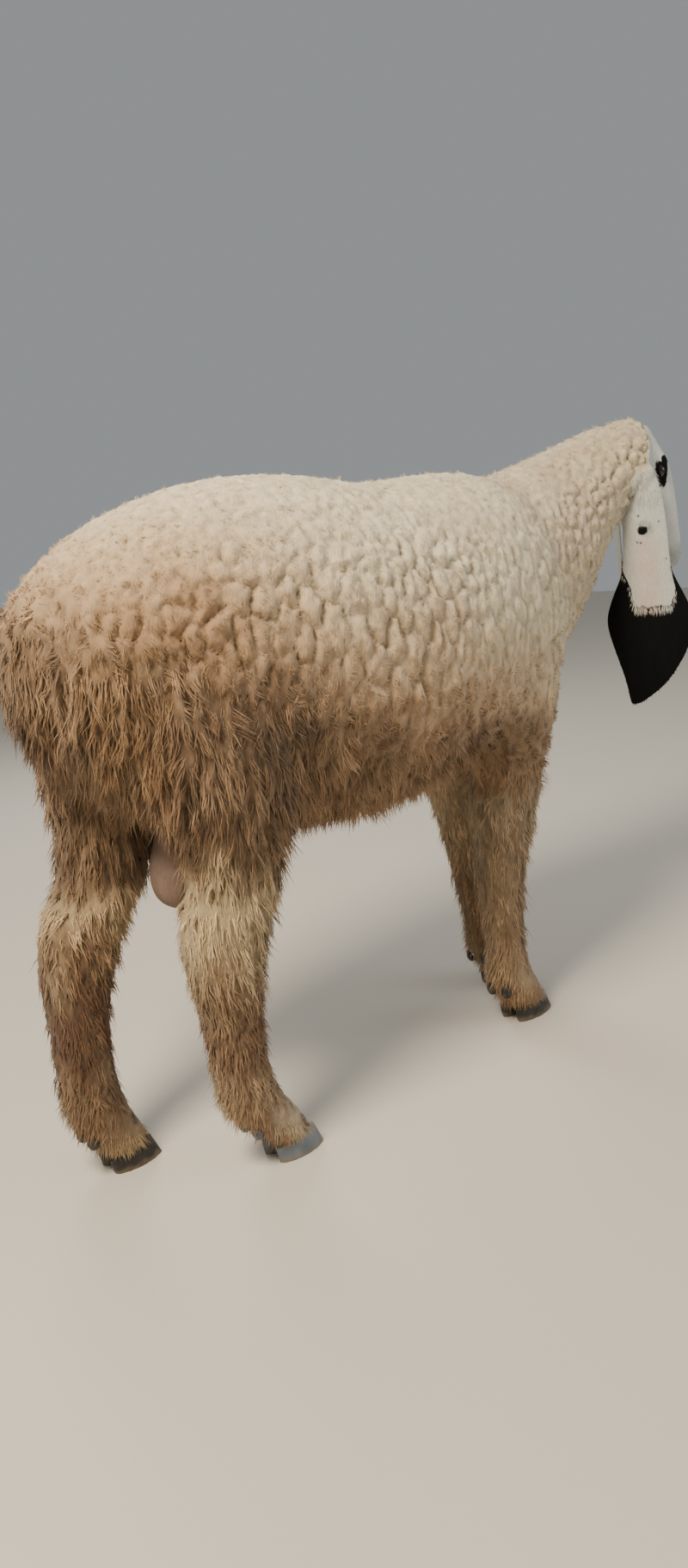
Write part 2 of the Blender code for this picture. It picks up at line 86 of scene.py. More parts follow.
# ---- Number tools ----
def linear(code):
    """A colour written as sRGB hex, in linear values."""
    parts = np.array([int(code[i:i + 2], 16) / 255 for i in (1, 3, 5)])
    return np.where(parts <= 0.04045, parts / 12.92, ((parts + 0.055) / 1.055) ** 2.4)


def rgb(setting):
    """A colour setting's three linear values."""
    return np.array(setting[:])


def ramp(value, start, end):
    """0 before start, 1 after end, and smooth between them; start may be the larger one."""
    share = np.clip((value - start) / (end - start), 0.0, 1.0)
    return share * share * (3 - 2 * share)


def course(value, table):
    """What a table of (value, quantity) pairs gives, straight between its rows."""
    return np.interp(value, *zip(*table))


def mix(first, second, share):
    """Blends two values, or two sets of rows, by a share for each row."""
    share = np.asarray(share)
    if share.ndim == 1 and np.ndim(second) + np.ndim(first) > 0:
        if np.ndim(first) == 2 or np.ndim(second) == 2 or np.shape(second)[-1:] == (3,):
            share = share[:, None]
    return np.asarray(first) * (1 - share) + np.asarray(second) * share


def unit(rows):
    """Rows scaled to length one."""
    return rows / np.maximum(np.linalg.norm(rows, axis=1, keepdims=True), 1e-9)


def dots(first, second):
    """The dot product of each row of one with the same row of the other."""
    return np.einsum("ij,ij->i", first, second)


def raised(aim, normals, least):
    """The ways turned out from the surface where they rise less than least from it."""
    return unit(aim + normals * np.clip(least - dots(aim, normals), 0, 1)[:, None])


def hill(value, top, reach):
    """1 at the value top, 0 beyond reach on both sides of it."""
    return np.exp(-((value - top) / reach * 1.6) ** 2)


def bump(rows, centre, size):
    """1 at the centre of a soft swelling of that size, 0 beyond it."""
    away = np.linalg.norm((rows - np.array(centre)) / np.array(size), axis=1)
    return np.exp(-(away ** 2) * 2.2)


def from_path(rows, path):
    """The distance of each row from a path of straight stretches."""
    best = np.full(len(rows), FAR)
    for a, b in zip(path[:-1], path[1:]):
        share = np.clip((rows - a) @ (b - a) / np.dot(b - a, b - a), 0, 1)
        best = np.minimum(best, np.linalg.norm(rows - a - share[:, None] * (b - a), axis=1))
    return best


def from_nearest(points, centres):
    """The distance of each point from the nearest of some centres."""
    return np.min([np.linalg.norm(points - np.array(centre), axis=1) for centre in centres], axis=0)


def uneven(rng, count, amount):
    """Random tones round 0, so many, kept within twice the amount."""
    return amount * rng.normal(size=count).clip(-2, 2)


def hashed(*whole):
    """A number from 0 to 1 for each row of whole numbers, always the same for the same numbers."""
    mixed = np.uint64(0x9E3779B97F4A7C15)
    with np.errstate(over="ignore"):
        for i, values in enumerate(whole):
            mixed = mixed ^ (np.asarray(values).astype(np.int64).astype(np.uint64) + np.uint64(i * 7919 + 13))
            mixed = mixed * np.uint64(0xBF58476D1CE4E5B9)
            mixed = mixed ^ (mixed >> np.uint64(29))
    return (mixed & np.uint64(0xFFFFFF)).astype(float) / 0xFFFFFF


def swell(points, size, seed, upright=1.0):
    """Smooth noise from -1 to 1, whose swells are size metres apart and taller where upright is below 1."""
    place = points * np.array((1, 1, upright)) / size
    base = np.floor(place).astype(np.int64)
    share = place - base
    share = share * share * (3 - 2 * share)
    total = np.zeros(len(points))
    for corner in itertools.product((0, 1), repeat=3):
        weight = np.prod(np.where(np.array(corner) == 1, share, 1 - share), axis=1)
        at = base + np.array(corner)
        total += weight * (hashed(at[:, 0], at[:, 1], at[:, 2], np.full(len(points), seed)) * 2 - 1)
    return total


FAR = 9.0                 # beyond any distance on the animal


# ---- The head's own frame: x towards the nose, y to its left, z up from the face ----
HEAD_PITCH = math.radians(-72)
EYE_IN_HEAD = (0.074, 0.0, 0.019)      # midway between the eyes


def head_frame():
    """The matrix that takes the head's own frame to the model's."""
    left, right = (Vector(middle(item)) for item in EYE_NODES)
    across = left - right
    yaw = math.atan2(-across.x, across.y)
    turn = Matrix.Rotation(yaw, 4, "Z") @ Matrix.Rotation(-HEAD_PITCH, 4, "Y")
    return Matrix.Translation((left + right) / 2 - turn @ Vector(EYE_IN_HEAD)) @ turn


HEAD = head_frame()
HEAD_TURN = np.array(HEAD)[:3, :3]
HEAD_PLACE = np.array(HEAD)[:3, 3]
HEAD_INVERSE = np.array(HEAD.inverted())


def to_head(points):
    """Points of the model in the head's own frame."""
    return points @ HEAD_INVERSE[:3, :3].T + HEAD_INVERSE[:3, 3]


# ---- Settings: what a user would change ----
def number(name, description, default, low, high, **more):
    """A setting that is a number."""
    return bpy.props.FloatProperty(name=name, description=description, default=default,
                                   min=low, max=high, **more)


def metres(name, description, default, low, high):
    """A setting that is a length."""
    return number(name, description, default, low, high, precision=4, unit="LENGTH")


def hue(name, description, code):
    """A setting that is a colour, its default written as sRGB hex."""
    return bpy.props.FloatVectorProperty(name=name, description=description, default=linear(code).tolist(),
                                         min=0.0, max=1.0, size=3, subtype="COLOR")


class FleeceSettings(bpy.types.PropertyGroup):
    """Sizes and colours of the wool on body and legs."""

    puff: metres("Puffs", "Spacing of the puffs of wool", 0.027, 0.015, 0.08)
    curl: metres("Curls", "Spacing of the curls on a puff", 0.016, 0.006, 0.04)
    crack_depth: metres("Crack depth", "Depth of the cracks between the puffs", 0.0078, 0.0, 0.02)
    crack_width: metres("Crack width", "Half width of the cracks between the puffs", 0.0026, 0.001, 0.01)
    inset: metres("Inset", "Depth of the puffs' crests below the tips of the wool", 0.006, 0.002, 0.02)
    short_lock: metres("Short locks", "Length of the locks where the wool is puffed", 0.0105, 0.003, 0.03)
    long_lock: metres("Long locks", "Length of the locks that hang low on the body", 0.038, 0.01, 0.08)
    cream: hue("Back", "Clean wool of the back", "#DECFAD")
    ivory: hue("Crests", "Sun-bleached crests of the puffs", "#EDE0C2")
    biscuit: hue("Flank", "Stained wool of the flanks", "#BE9F7C")
    tan: hue("Thigh", "Wool of the thighs and the belly's edge", "#9E7D5B")
    umber: hue("Low stain", "Deep stain low on the body", "#6C5239")
    sand: hue("Legs", "Wool of the legs", "#C2A681")
    # Painted shade: this colour darkens the cracks between the puffs.
    crack: hue("Cracks", "Dust lying in the cracks", "#73603F")


class HeadSettings(bpy.types.PropertyGroup):
    """Sizes and colours of face, ears and eyes."""

    lid_length: metres("Lid length", "Half the length of the opening between the lids", 0.0128, 0.005, 0.02)
    lid_height: metres("Lid height", "Half the height of the opening between the lids", 0.0062, 0.002, 0.012)
    lid_rise: metres("Lid rise", "Thickness of the lids over the eyeball", 0.0019, 0.0005, 0.004)
    face_hair: metres("Face hair", "Length of the hair on the face", 0.0052, 0.002, 0.02)
    ear_hair: metres("Ear hair", "Length of the hair on the ears", 0.0062, 0.002, 0.02)
    fringe: metres("Ear fringe", "Extra length of the hair at the hem of the ear's white", 0.0095, 0.0, 0.03)
    lash: metres("Eyelashes", "Length of the eyelashes", 0.0085, 0.002, 0.02)
    bristle: metres("Bristles", "Length of the bristles round the mouth", 0.024, 0.005, 0.06)
    white: hue("White", "Clean short hair", "#DADCD3")
    pink: hue("Pink", "Skin showing through thin hair", "#D9BDB2")
    black: hue("Black", "Black hair of the ears and round the eyes", "#060708")
    # Painted shade: the chin's grey stands in for the shade under the hanging head.
    chin: hue("Chin", "Grey hair of the chin", "#A9A9A4")
    nose: hue("Nose", "Bare skin of nostrils and lips", "#4A4140")
    iris: hue("Iris", "Dark brown of the eye", "#21140B")


class HoofSettings(bpy.types.PropertyGroup):
    """Colours of the four hooves."""

    hind_right: hue("Right hind", "Horn of the right hind hoof", "#59626A")
    hind_left: hue("Left hind", "Horn of the left hind hoof", "#1B1A19")
    front_right: hue("Right front", "Horn of the right front hoof", "#1E1D1D")
    front_left: hue("Left front", "Horn of the left front hoof", "#2A2725")
    dust: hue("Dust", "Dust along the lower rims", "#8A7860")


class StudioSettings(bpy.types.PropertyGroup):
    """The floor, the lamps and the lens."""

    floor: hue("Floor", "Painted plaster of the floor", "#CFC9BE")
    sky: hue("Sky", "Soft light from all round", "#DDE2E4")
    sky_strength: number("Sky strength", "Strength of the light from all round", 0.40, 0.0, 3.0)
    key_power: number("Key lamp", "Power of the warm lamp on the left", 155.0, 0.0, 2000.0, unit="POWER")
    fill_power: number("Fill lamp", "Power of the cool lamp on the right", 26.0, 0.0, 2000.0, unit="POWER")
    rim_power: number("Rim lamp", "Power of the lamp beyond the animal", 50.0, 0.0, 2000.0, unit="POWER")
    lens: number("Lens", "Focal length of the camera, in millimetres", 27.05, 10.0, 200.0)


def look_of(group):
    """The scene's settings of one group: fleece, head, hooves or studio."""
    return getattr(bpy.context.scene, "ram_" + group)


# ---- Surfaces as arrays ----
def points_of(mesh):
    """The places of a mesh's points."""
    points = np.empty(len(mesh.vertices) * 3)
    mesh.vertices.foreach_get("co", points)
    return points.reshape(-1, 3)


def corners_of(mesh):
    """The point at each of a mesh's corners."""
    corners = np.empty(len(mesh.loops), np.int32)
    mesh.loops.foreach_get("vertex_index", corners)
    return corners


def as_arrays(mesh, sides=4):
    """Points and faces of a mesh whose faces all have so many sides."""
    return points_of(mesh), corners_of(mesh).reshape(-1, sides)


def node_arrays(item, lift=0.0):
    """Welded points and triangles of a CAD node's copy, each point moved out along its normal by lift."""
    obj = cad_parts[item]
    mesh = obj.data
    mesh.calc_loop_triangles()
    points = points_of(mesh)
    triangles = np.empty(len(mesh.loop_triangles) * 3, np.int32)
    mesh.loop_triangles.foreach_get("vertices", triangles)
    _, first, same = np.unique(np.round(points, 6), axis=0, return_index=True, return_inverse=True)
    matrix = np.array(obj.matrix_world)
    points = points[first] @ matrix[:3, :3].T + matrix[:3, 3]
    triangles = same.reshape(-1)[triangles.reshape(-1, 3)]
    if lift:
        points = points + lift * normals_of(points, triangles)
    return points, triangles


def joined(parts):
    """Several (points, faces) pairs as one."""
    points, faces, start = [], [], 0
    for part_points, part_faces in parts:
        points.append(part_points)
        faces.append(part_faces + start)
        start += len(part_points)
    return np.concatenate(points), np.concatenate(faces)


def diagonals(points, faces):
    """The cross product of each quad's diagonals: twice its area, along its normal."""
    a, b, c, d = (points[faces[:, k]] for k in range(4))
    return np.cross(c - a, d - b)


def areas(points, faces):
    """The areas of quads."""
    return np.linalg.norm(diagonals(points, faces), axis=1) / 2


def normals_of(points, faces):
    """Normals of the points of a mesh of triangles or quads."""
    if faces.shape[1] == 4:
        across = diagonals(points, faces)
    else:
        a, b, c = (points[faces[:, k]] for k in range(3))
        across = np.cross(b - a, c - a)
    total = np.zeros_like(points)
    for corner in range(faces.shape[1]):
        for axis in range(3):
            total[:, axis] += np.bincount(faces[:, corner], across[:, axis], len(points))
    return unit(total)


def edges_of(faces):
    """Each edge of the faces once."""
    pairs = np.stack([faces, np.roll(faces, -1, axis=1)], axis=2).reshape(-1, 2)
    return np.unique(np.sort(pairs, axis=1), axis=0)


def relaxed(values, edges, rounds, share=0.5, hold=None):
    """Values of the points, each drawn towards its neighbours' mean; hold keeps a point back, from 0 to 1."""
    values = np.array(values, float)
    flat = values.ndim == 1
    if flat:
        values = values[:, None]
    count = len(values)
    a, b = edges.T
    degree = np.maximum(np.bincount(np.concatenate([a, b]), minlength=count), 1)[:, None]
    pull = share if hold is None else share * (1 - hold)[:, None]
    for _ in range(rounds):
        total = np.stack([np.bincount(a, values[b, k], count) + np.bincount(b, values[a, k], count)
                          for k in range(values.shape[1])], axis=1)
        values = values + pull * (total / degree - values)
    return values[:, 0] if flat else values


def rounded(points, edges, rounds, back_rounds, back):
    """The points smoothed, then swelled again by a negative share, so that the form keeps its size."""
    return relaxed(relaxed(points, edges, rounds, 0.5), edges, back_rounds, back)


def largest(points, faces):
    """The largest connected piece of a mesh."""
    a, b = edges_of(faces).T
    label = np.arange(len(points))
    while True:
        lowest = label.copy()
        np.minimum.at(lowest, a, label[b])
        np.minimum.at(lowest, b, label[a])
        lowest = lowest[lowest]
        if np.array_equal(lowest, label):
            break
        label = lowest
    kept = label == np.bincount(label).argmax()
    renumbered = np.cumsum(kept) - 1
    return points[kept], renumbered[faces[kept[faces[:, 0]]]]


def point_tree(points):
    """A tree that finds the nearest of the points."""
    tree = KDTree(len(points))
    for i, point in enumerate(points.tolist()):
        tree.insert(point, i)
    tree.balance()
    return tree


def face_tree(points, faces):
    """A tree that finds the nearest of the faces."""
    return BVHTree.FromPolygons(points.tolist(), faces.tolist())


# ---- Meshes and objects ----
def new_mesh(name, points, faces):
    """A mesh from arrays of points and faces."""
    mesh = bpy.data.meshes.new(name)
    mesh.from_pydata(points.tolist(), [], faces.tolist())
    mesh.update()
    return mesh


def show(name, data):
    """A new object of the scene."""
    obj = bpy.data.objects.new(name, data)
    bpy.context.scene.collection.objects.link(obj)
    return obj


def result(obj):
    """The object's mesh as its modifiers leave it."""
    return bpy.data.meshes.new_from_object(obj.evaluated_get(bpy.context.evaluated_depsgraph_get()))


@contextmanager
def edited(mesh):
    """The mesh opened for bmesh tools, and written back."""
    form = bmesh.new()
    form.from_mesh(mesh)
    yield form
    form.to_mesh(mesh)
    form.free()


def remeshed(points, faces, voxel):
    """One closed surface of even quads round everything in the mesh, without the loose bits."""
    obj = show("form", new_mesh("form", points, faces))
    change = obj.modifiers.new("even grain", "REMESH")
    change.mode = "VOXEL"
    change.voxel_size = voxel
    made = result(obj)
    bpy.data.objects.remove(obj)
    return largest(*as_arrays(made))


def paint(mesh, tint):
    """Stores a colour for each point, which the materials read as tint."""
    layer = mesh.attributes.new("tint", "FLOAT_COLOR", "POINT")
    rows = np.ones((len(mesh.vertices), 4), np.float32)
    rows[:, :3] = tint
    layer.data.foreach_set("color", rows.reshape(-1))


def lay_out(mesh, spots):
    """Gives the mesh the map OFBake, a place for each corner."""
    layer = mesh.uv_layers.new(name="OFBake")
    layer.uv.foreach_set("vector", spots.reshape(-1).astype(np.float32))


def finished(name, mesh, material, nodes):
    """Shows a piece on the model's one body, in place of nodes, with its material."""
    if material:
        mesh.materials.append(material)
    obj = show(name, mesh)
    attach(obj, "root")
    if nodes:
        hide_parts(*nodes)


# ---- The form of the body, out to the tips of the wool ----
JOIN_LIFT = 0.0012        # closes the fine cuts between neighbouring nodes before they are joined
BED_GRAIN = 0.0049        # of the surface that the fleece is modelled on
SKIN_GRAIN = 0.0105       # of the skin below the wool
PARTS = ("trunk", "neck", "head", "tail", "front", "hind")

Form = namedtuple("Form", "points faces edges normals shares")


@lru_cache(maxsize=None)
def owners():
    """A tree of the woolly nodes' faces, and which of PARTS each face belongs to."""
    surfaces = [node_arrays(item) for item in WOOLLY_NODES]
    parts = [PARTS.index(item if item in PARTS else item.split("_")[1]) for item in WOOLLY_NODES]
    return face_tree(*joined(surfaces)), np.repeat(parts, [len(faces) for _, faces in surfaces])


def part_shares(points, edges, rounds):
    """How far each point belongs to each of PARTS, blended across the borders."""
    tree, names = owners()
    part = np.array([names[tree.find_nearest(point)[2]] for point in points.tolist()])
    return {name: relaxed((part == i).astype(float), edges, rounds) for i, name in enumerate(PARTS)}


def outer_form(voxel, rounds):
    """The outline of trunk, neck, head, tail and legs as one rounded surface."""
    points, faces = remeshed(*joined([node_arrays(item, JOIN_LIFT) for item in WOOLLY_NODES]), voxel)
    edges = edges_of(faces)
    for _ in range(rounds):
        points = relaxed(points, edges, 1, 0.55)
        points = relaxed(points, edges, 1, -0.56)
    return Form(points, faces, edges, normals_of(points, faces), part_shares(points, edges, 10))


# ---- Lie and length of the wool, by place on the body ----
# Behind this plane of the head's own frame the head is woolly: a point on it and its normal.
WOOL_LINE_POINT = np.array((-0.020, 0.0, 0.042))
WOOL_LINE_NORMAL = np.array((0.62, 0.0, 0.784))
# The height at which locks begin to hang, from rump to chest, and that below which the wool is stained.
HANGING_LINE = ((-0.62, 0.84), (-0.45, 0.76), (-0.25, 0.64), (0.0, 0.56), (0.2, 0.50), (0.35, 0.44))
STAIN_LINE = ((-0.64, 0.91), (-0.50, 0.88), (-0.30, 0.77), (-0.05, 0.67), (0.15, 0.585), (0.30, 0.55))


def face_share(points):
    """1 on the short-haired face, 0 in the wool behind it."""
    ahead = (to_head(points) - WOOL_LINE_POINT) @ WOOL_LINE_NORMAL
    ahead = ahead + 0.004 * swell(points, 0.014, 31)
    return ramp(ahead, -0.004, 0.006)


def shag_share(points, shares):
    """0 where the wool stands in rounded puffs, 1 where it hangs in long locks."""
    start = course(points[:, 0], HANGING_LINE)
    start = start + 0.045 * swell(points, 0.09, 5) + 0.028 * swell(points, 0.03, 6)
    hanging = ramp(points[:, 2], start + 0.005, start - 0.19)
    tail = shares["tail"] * ramp(points[:, 2], 0.84, 0.74)
    front = shares["front"] * 0.55
    return np.clip(np.maximum.reduce([hanging * (1 - shares["neck"]), tail, front]), 0, 1)


# ---- Puffs: cells of wool parted by cracks ----
# How much taller than wide the puffs are at each height.
STRETCH = ((0.0, 1.4), (0.35, 1.4), (0.50, 2.1), (0.64, 2.1), (0.80, 1.25), (1.0, 1.0))
TRIED = 0.8               # share of a surface's points that are tried as middles of cells

Cells = namedtuple("Cells", "wall depth")


def unstretched(points):
    """The points with heights squeezed, so that round cells there are tall ones on the body."""
    heights = np.linspace(-0.05, 1.05, 400)
    rise = np.diff(heights) / course(heights[1:], STRETCH)
    squeezed = np.concatenate([[0.0], np.cumsum(rise)])
    place = points.copy()
    place[:, 2] = np.interp(points[:, 2], heights, squeezed)
    return place


def thinned(points, spacing, seed):
    """Indices of points chosen at random that keep their own spacing from each other."""
    order = np.random.default_rng(seed).permutation(len(points))[:int(len(points) * TRIED)]
    tree = point_tree(points[order])
    free = np.ones(len(order), bool)
    chosen = []
    for i, index in enumerate(order.tolist()):
        if free[i]:
            chosen.append(index)
            for _, near, _ in tree.find_range(points[index], spacing[index]):
                free[near] = False
    return np.array(chosen)


def cells(points, spacing, wander, seed):
    """For each point, how far the nearest crack is, and how deep that crack is from 0 to 1."""
    drift = np.stack([swell(points, wander * 6, seed + k) for k in range(3)], axis=1) * wander
    drift += np.stack([swell(points, wander * 2, seed + 3 + k) for k in range(3)], axis=1) * wander * 0.4
    place = unstretched(points + drift)
    seeds = place[thinned(place, spacing, seed)]
    tree = point_tree(seeds)
    near = np.array([[hit[1] for hit in tree.find_n(spot, 3)] for spot in place.tolist()])
    first = seeds[near[:, 0]]
    wall, depth = np.full(len(points), FAR), np.zeros(len(points))
    for k in (1, 2):
        other = seeds[near[:, k]]
        apart = unit(other - first)
        gap = dots((first + other) / 2 - place, apart)
        low, high = np.minimum(near[:, 0], near[:, k]), np.maximum(near[:, 0], near[:, k])
        upright = np.hypot(apart[:, 0], apart[:, 1]) ** 2
        strength = (0.10 + 0.90 * ramp(hashed(low, high), 0.20, 0.90)) * (0.40 + 0.60 * upright)
        closer = gap < wall
        wall, depth = np.where(closer, gap, wall), np.where(closer, strength, depth)
    return Cells(wall, depth)


# ---- Colours of the wool ----
RUST = "#5E3C22"          # the patch behind the left hock
SLATE = "#3F3A33"         # grey streaks on the right hock and in the fold of the flank
PALE_HOCK = "#CDB58C"     # brushed, bleached wool on the hocks

Stain = namedtuple("Stain", "centre size colour strength streak")
STAINS = (
    Stain((-0.640, 0.090, 0.255), (0.090, 0.095, 0.110), RUST, 0.92, 0.012),
    Stain((-0.625, 0.090, 0.130), (0.080, 0.080, 0.070), "#6A4E34", 0.55, 0.012),       # left hind cannon
    Stain((-0.500, -0.095, 0.225), (0.070, 0.080, 0.070), "#6A482C", 0.65, 0.010),      # right hind cannon
    Stain((-0.430, -0.140, 0.335), (0.040, 0.050, 0.060), SLATE, 0.80, 0.006),
    Stain((-0.400, -0.190, 0.600), (0.050, 0.060, 0.028), SLATE, 0.32, 0.008),
    Stain((-0.250, -0.200, 0.560), (0.050, 0.060, 0.035), "#64452B", 0.40, 0.008),      # before the stifle
    Stain((0.020, -0.170, 0.490), (0.170, 0.110, 0.055), "#564029", 0.50, 0.010),       # edge of the belly
    Stain((0.090, -0.080, 0.300), (0.100, 0.090, 0.170), "#6A5238", 0.45, 0.012),       # right foreleg
    Stain((0.105, -0.075, 0.250), (0.030, 0.040, 0.040), "#9A5A2A", 0.40, 0.010),
    Stain((-0.585, 0.060, 0.072), (0.012, 0.014, 0.012), "#14100D", 0.92, 0.004),       # left hind pastern
    Stain((-0.425, -0.098, 0.066), (0.055, 0.050, 0.040), "#CDBB9C", 0.65, 0.008),      # right hind pastern
    Stain((-0.420, -0.110, 0.052), (0.007, 0.010, 0.006), "#2A241C", 0.85, 0.003),
    Stain((-0.432, -0.115, 0.080), (0.006, 0.010, 0.005), "#3A3A30", 0.75, 0.003),
    Stain((-0.495, -0.125, 0.395), (0.075, 0.080, 0.090), PALE_HOCK, 0.88, 0.012),
    Stain((-0.600, 0.100, 0.390), (0.070, 0.070, 0.045), PALE_HOCK, 0.55, 0.012),
    Stain((-0.357, 0.0, 0.450), (0.060, 0.050, 0.045), "#2B2119", 0.85, 0.008),         # hair of the sheath
    Stain((-0.600, -0.130, 0.640), (0.060, 0.070, 0.160), "#8C6840", 0.45, 0.012),      # back of the thigh
    Stain((-0.530, -0.200, 0.760), (0.110, 0.100, 0.080), "#96714A", 0.40, 0.012),      # rump
)


def wool_tint(points, shares):
    """The colour of the wool at each point, in linear values."""
    look = look_of("fleece")
    cream, biscuit, tan, umber = (rgb(hair) for hair in (look.cream, look.biscuit, look.tan, look.umber))
    x, z = points[:, 0], points[:, 2]
    broad, patchy = swell(points, 0.12, 11), swell(points, 0.04, 12)
    streak, fine = swell(points, 0.010, 13, 0.25), swell(points, 0.0045, 14, 0.3)
    tint = mix(cream, rgb(look.ivory), np.clip(0.35 + 0.5 * patchy + 0.3 * broad, 0, 1))
    # Stains deepen from the back down, more so at the rear.
    below = course(x, STAIN_LINE) - z + 0.050 * broad + 0.028 * patchy + 0.016 * streak
    tint = mix(tint, biscuit, ramp(below, -0.14, 0.11) * 0.92)
    tint = mix(tint, tan, ramp(below, 0.02, 0.20) * np.clip(0.80 + 0.25 * streak, 0, 1))
    deep = ramp(below, 0.06, 0.24) * (0.22 + 0.42 * ramp(x, -0.05, -0.40))
    deep = deep * np.clip(1 + 0.9 * streak + 0.5 * fine + 0.4 * patchy, 0, 2)
    tint = mix(tint, umber, np.clip(deep, 0, 0.85))
    tint = mix(tint, umber, shares["tail"] * ramp(z, 0.84, 0.76) * 0.40)
    shade = shares["neck"] + shares["head"]
    tint = mix(tint, biscuit * 0.95, shade * np.clip(0.34 + 0.3 * patchy, 0, 1)) * (1 - 0.06 * shade)[:, None]
    # Legs: sandy wool with pale patches, and browner cannons.
    leg = np.clip(shares["front"] + shares["hind"], 0, 1) * ramp(z, 0.54, 0.42)
    sandy = mix(tan, rgb(look.sand), np.clip(0.40 + 0.4 * patchy + 0.3 * streak, 0, 1))
    sandy = mix(sandy, linear(PALE_HOCK), np.clip(0.20 + 0.75 * patchy + 0.3 * broad, 0, 0.75))
    sandy = mix(sandy, cream, shares["front"] * ramp(z, 0.20, 0.46) * 0.6)
    tint = mix(tint, sandy, leg * 0.85)
    cannon = hill(z, 0.19, 0.19) * leg * np.clip(0.55 + 0.5 * streak + 0.4 * patchy, 0, 1)
    tint = mix(tint, umber, cannon * 0.75)
    for stain in STAINS:
        away = np.linalg.norm((points - np.array(stain.centre)) / np.array(stain.size), axis=1)
        ragged = away + 0.35 * swell(points, stain.streak, 17, 0.35) + 0.2 * patchy
        tint = mix(tint, linear(stain.colour), ramp(ragged, 1.15, 0.55) * stain.strength)
    return tint * (1 + 0.06 * fine)[:, None]


# ---- The bed: the felted mass of the fleece, with its puffs and cracks ----
Bed = namedtuple("Bed", "points faces normals shares leg shag tint crack bare")


@lru_cache(maxsize=None)
def bed():
    """The surface of the felted fleece, below the tips of its locks."""
    look = look_of("fleece")
    form = outer_form(BED_GRAIN, 8)
    points, normals, shares = form.points, form.normals, form.shares
    shag = relaxed(shag_share(points, shares), form.edges, 4)
    leg = shares["front"] + shares["hind"]
    bare = face_share(points) * shares["head"]
    foot = leg * ramp(points[:, 2], 0.14, 0.04)
    small = 1 - 0.35 * leg - 0.2 * shares["head"] - 0.1 * shares["neck"]
    varied = 1 + 0.30 * swell(points, 0.10, 39) + 0.18 * swell(points, 0.035, 38)
    puffs = cells(points, look.puff * small * varied * 0.82, 0.0060, 40)
    curls = cells(points, np.full(len(points), look.curl * 0.82), 0.0020, 60)
    # The back and the band behind the shoulder are smoother than the sides.
    relief = mix(1.10, 0.45, ramp(normals[:, 2], 0.10, 0.75)) * (1 - 0.50 * hill(points[:, 0], 0.06, 0.22))
    relief = relief * np.clip(1 + 0.5 * swell(points, 0.11, 41), 0.4, 1.4) * (1 - 0.25 * shares["neck"])
    deep = look.crack_depth * relief * (1 - 0.35 * shag) * (1 - 0.45 * leg)
    crack = np.exp(-puffs.wall / look.crack_width) * puffs.depth * np.clip(0.35 + 0.65 * relief, 0, 1)
    sink = deep * crack
    sink += 0.0045 * relief * (1 - np.clip(puffs.wall / (look.puff * 0.5), 0, 1)) ** 2 * (1 - 0.4 * leg)
    sink += (0.0056 * np.exp(-curls.wall / 0.0032) * (0.30 + 0.70 * curls.depth)
             * mix(0.5, 1.0, np.clip(relief, 0, 1)))
    sink += 0.0011 * swell(points, 0.0085, 42, 0.6)
    sink = sink * (1 - 0.75 * foot)
    inset = mix(look.inset, 0.009, shag) * (1 - 0.55 * leg) - 0.003 * shares["head"]
    inset = inset - 0.0025 * foot
    inset = mix(inset, 0.014, bare)
    moved = points - normals * (inset + sink)[:, None]
    # Painted shade: the cracks between the puffs are darkened towards the crack colour, less where the wool
    # hangs.
    tint = mix(wool_tint(points, shares), rgb(look.crack), np.clip(crack * 0.65, 0, 0.6) * (1 - 0.3 * shag))
    return Bed(moved, form.faces, normals_of(moved, form.faces), shares, leg, shag, tint, crack, bare)


# ---- The place of each root on an unwrap of the skin ----
Tube = namedtuple("Tube", "start end up corner size")
ROUND = 0.96              # of a strip's height that a tube's round takes


def body_tubes():
    """The body opened out: the axis of each limb or part, and where its strip lies on the unwrap."""
    tubes = {
        "trunk": Tube((-0.66, 0, 0.67), (0.36, 0, 0.67), (0, 0, 1), (0.01, 0.01), (0.61, 0.61)),
        "neck": Tube((0.10, 0, 0.74), tuple(HEAD @ Vector((0, 0, 0))), (0, 0, 1), (0.65, 0.01), (0.34, 0.34)),
        "head": Tube(tuple(HEAD @ Vector((-0.05, 0, 0))), tuple(HEAD @ Vector((0.26, 0, 0))),
                     tuple(HEAD.to_3x3() @ Vector((0, 0, 1))), (0.65, 0.37), (0.34, 0.26)),
        "tail": Tube((-0.62, 0.01, 0.86), (-0.62, 0.01, 0.58), (-1, 0, 0), (0.49, 0.65), (0.14, 0.34)),
    }
    for i, corner in enumerate(CORNERS):
        top, foot = middle(f"leg_{corner}_upper"), middle(f"leg_{corner}_foot")
        top = top + (top - foot) * 0.3
        foot = foot + (foot - top) * 0.15
        tubes[corner] = Tube(tuple(top), tuple(foot), (1, 0, 0), (0.01 + 0.12 * i, 0.65), (0.11, 0.34))
    for i, item in enumerate(EAR_NODES):
        low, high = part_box(item)
        x, y, _ = middle(item)
        tubes[item] = Tube((x, y, high[2]), (x, y, low[2]), (0, 1, 0), (0.65 + 0.18 * i, 0.65), (0.16, 0.34))
    return tubes


TUBES = body_tubes()
TUBE_NAMES = tuple(TUBES)


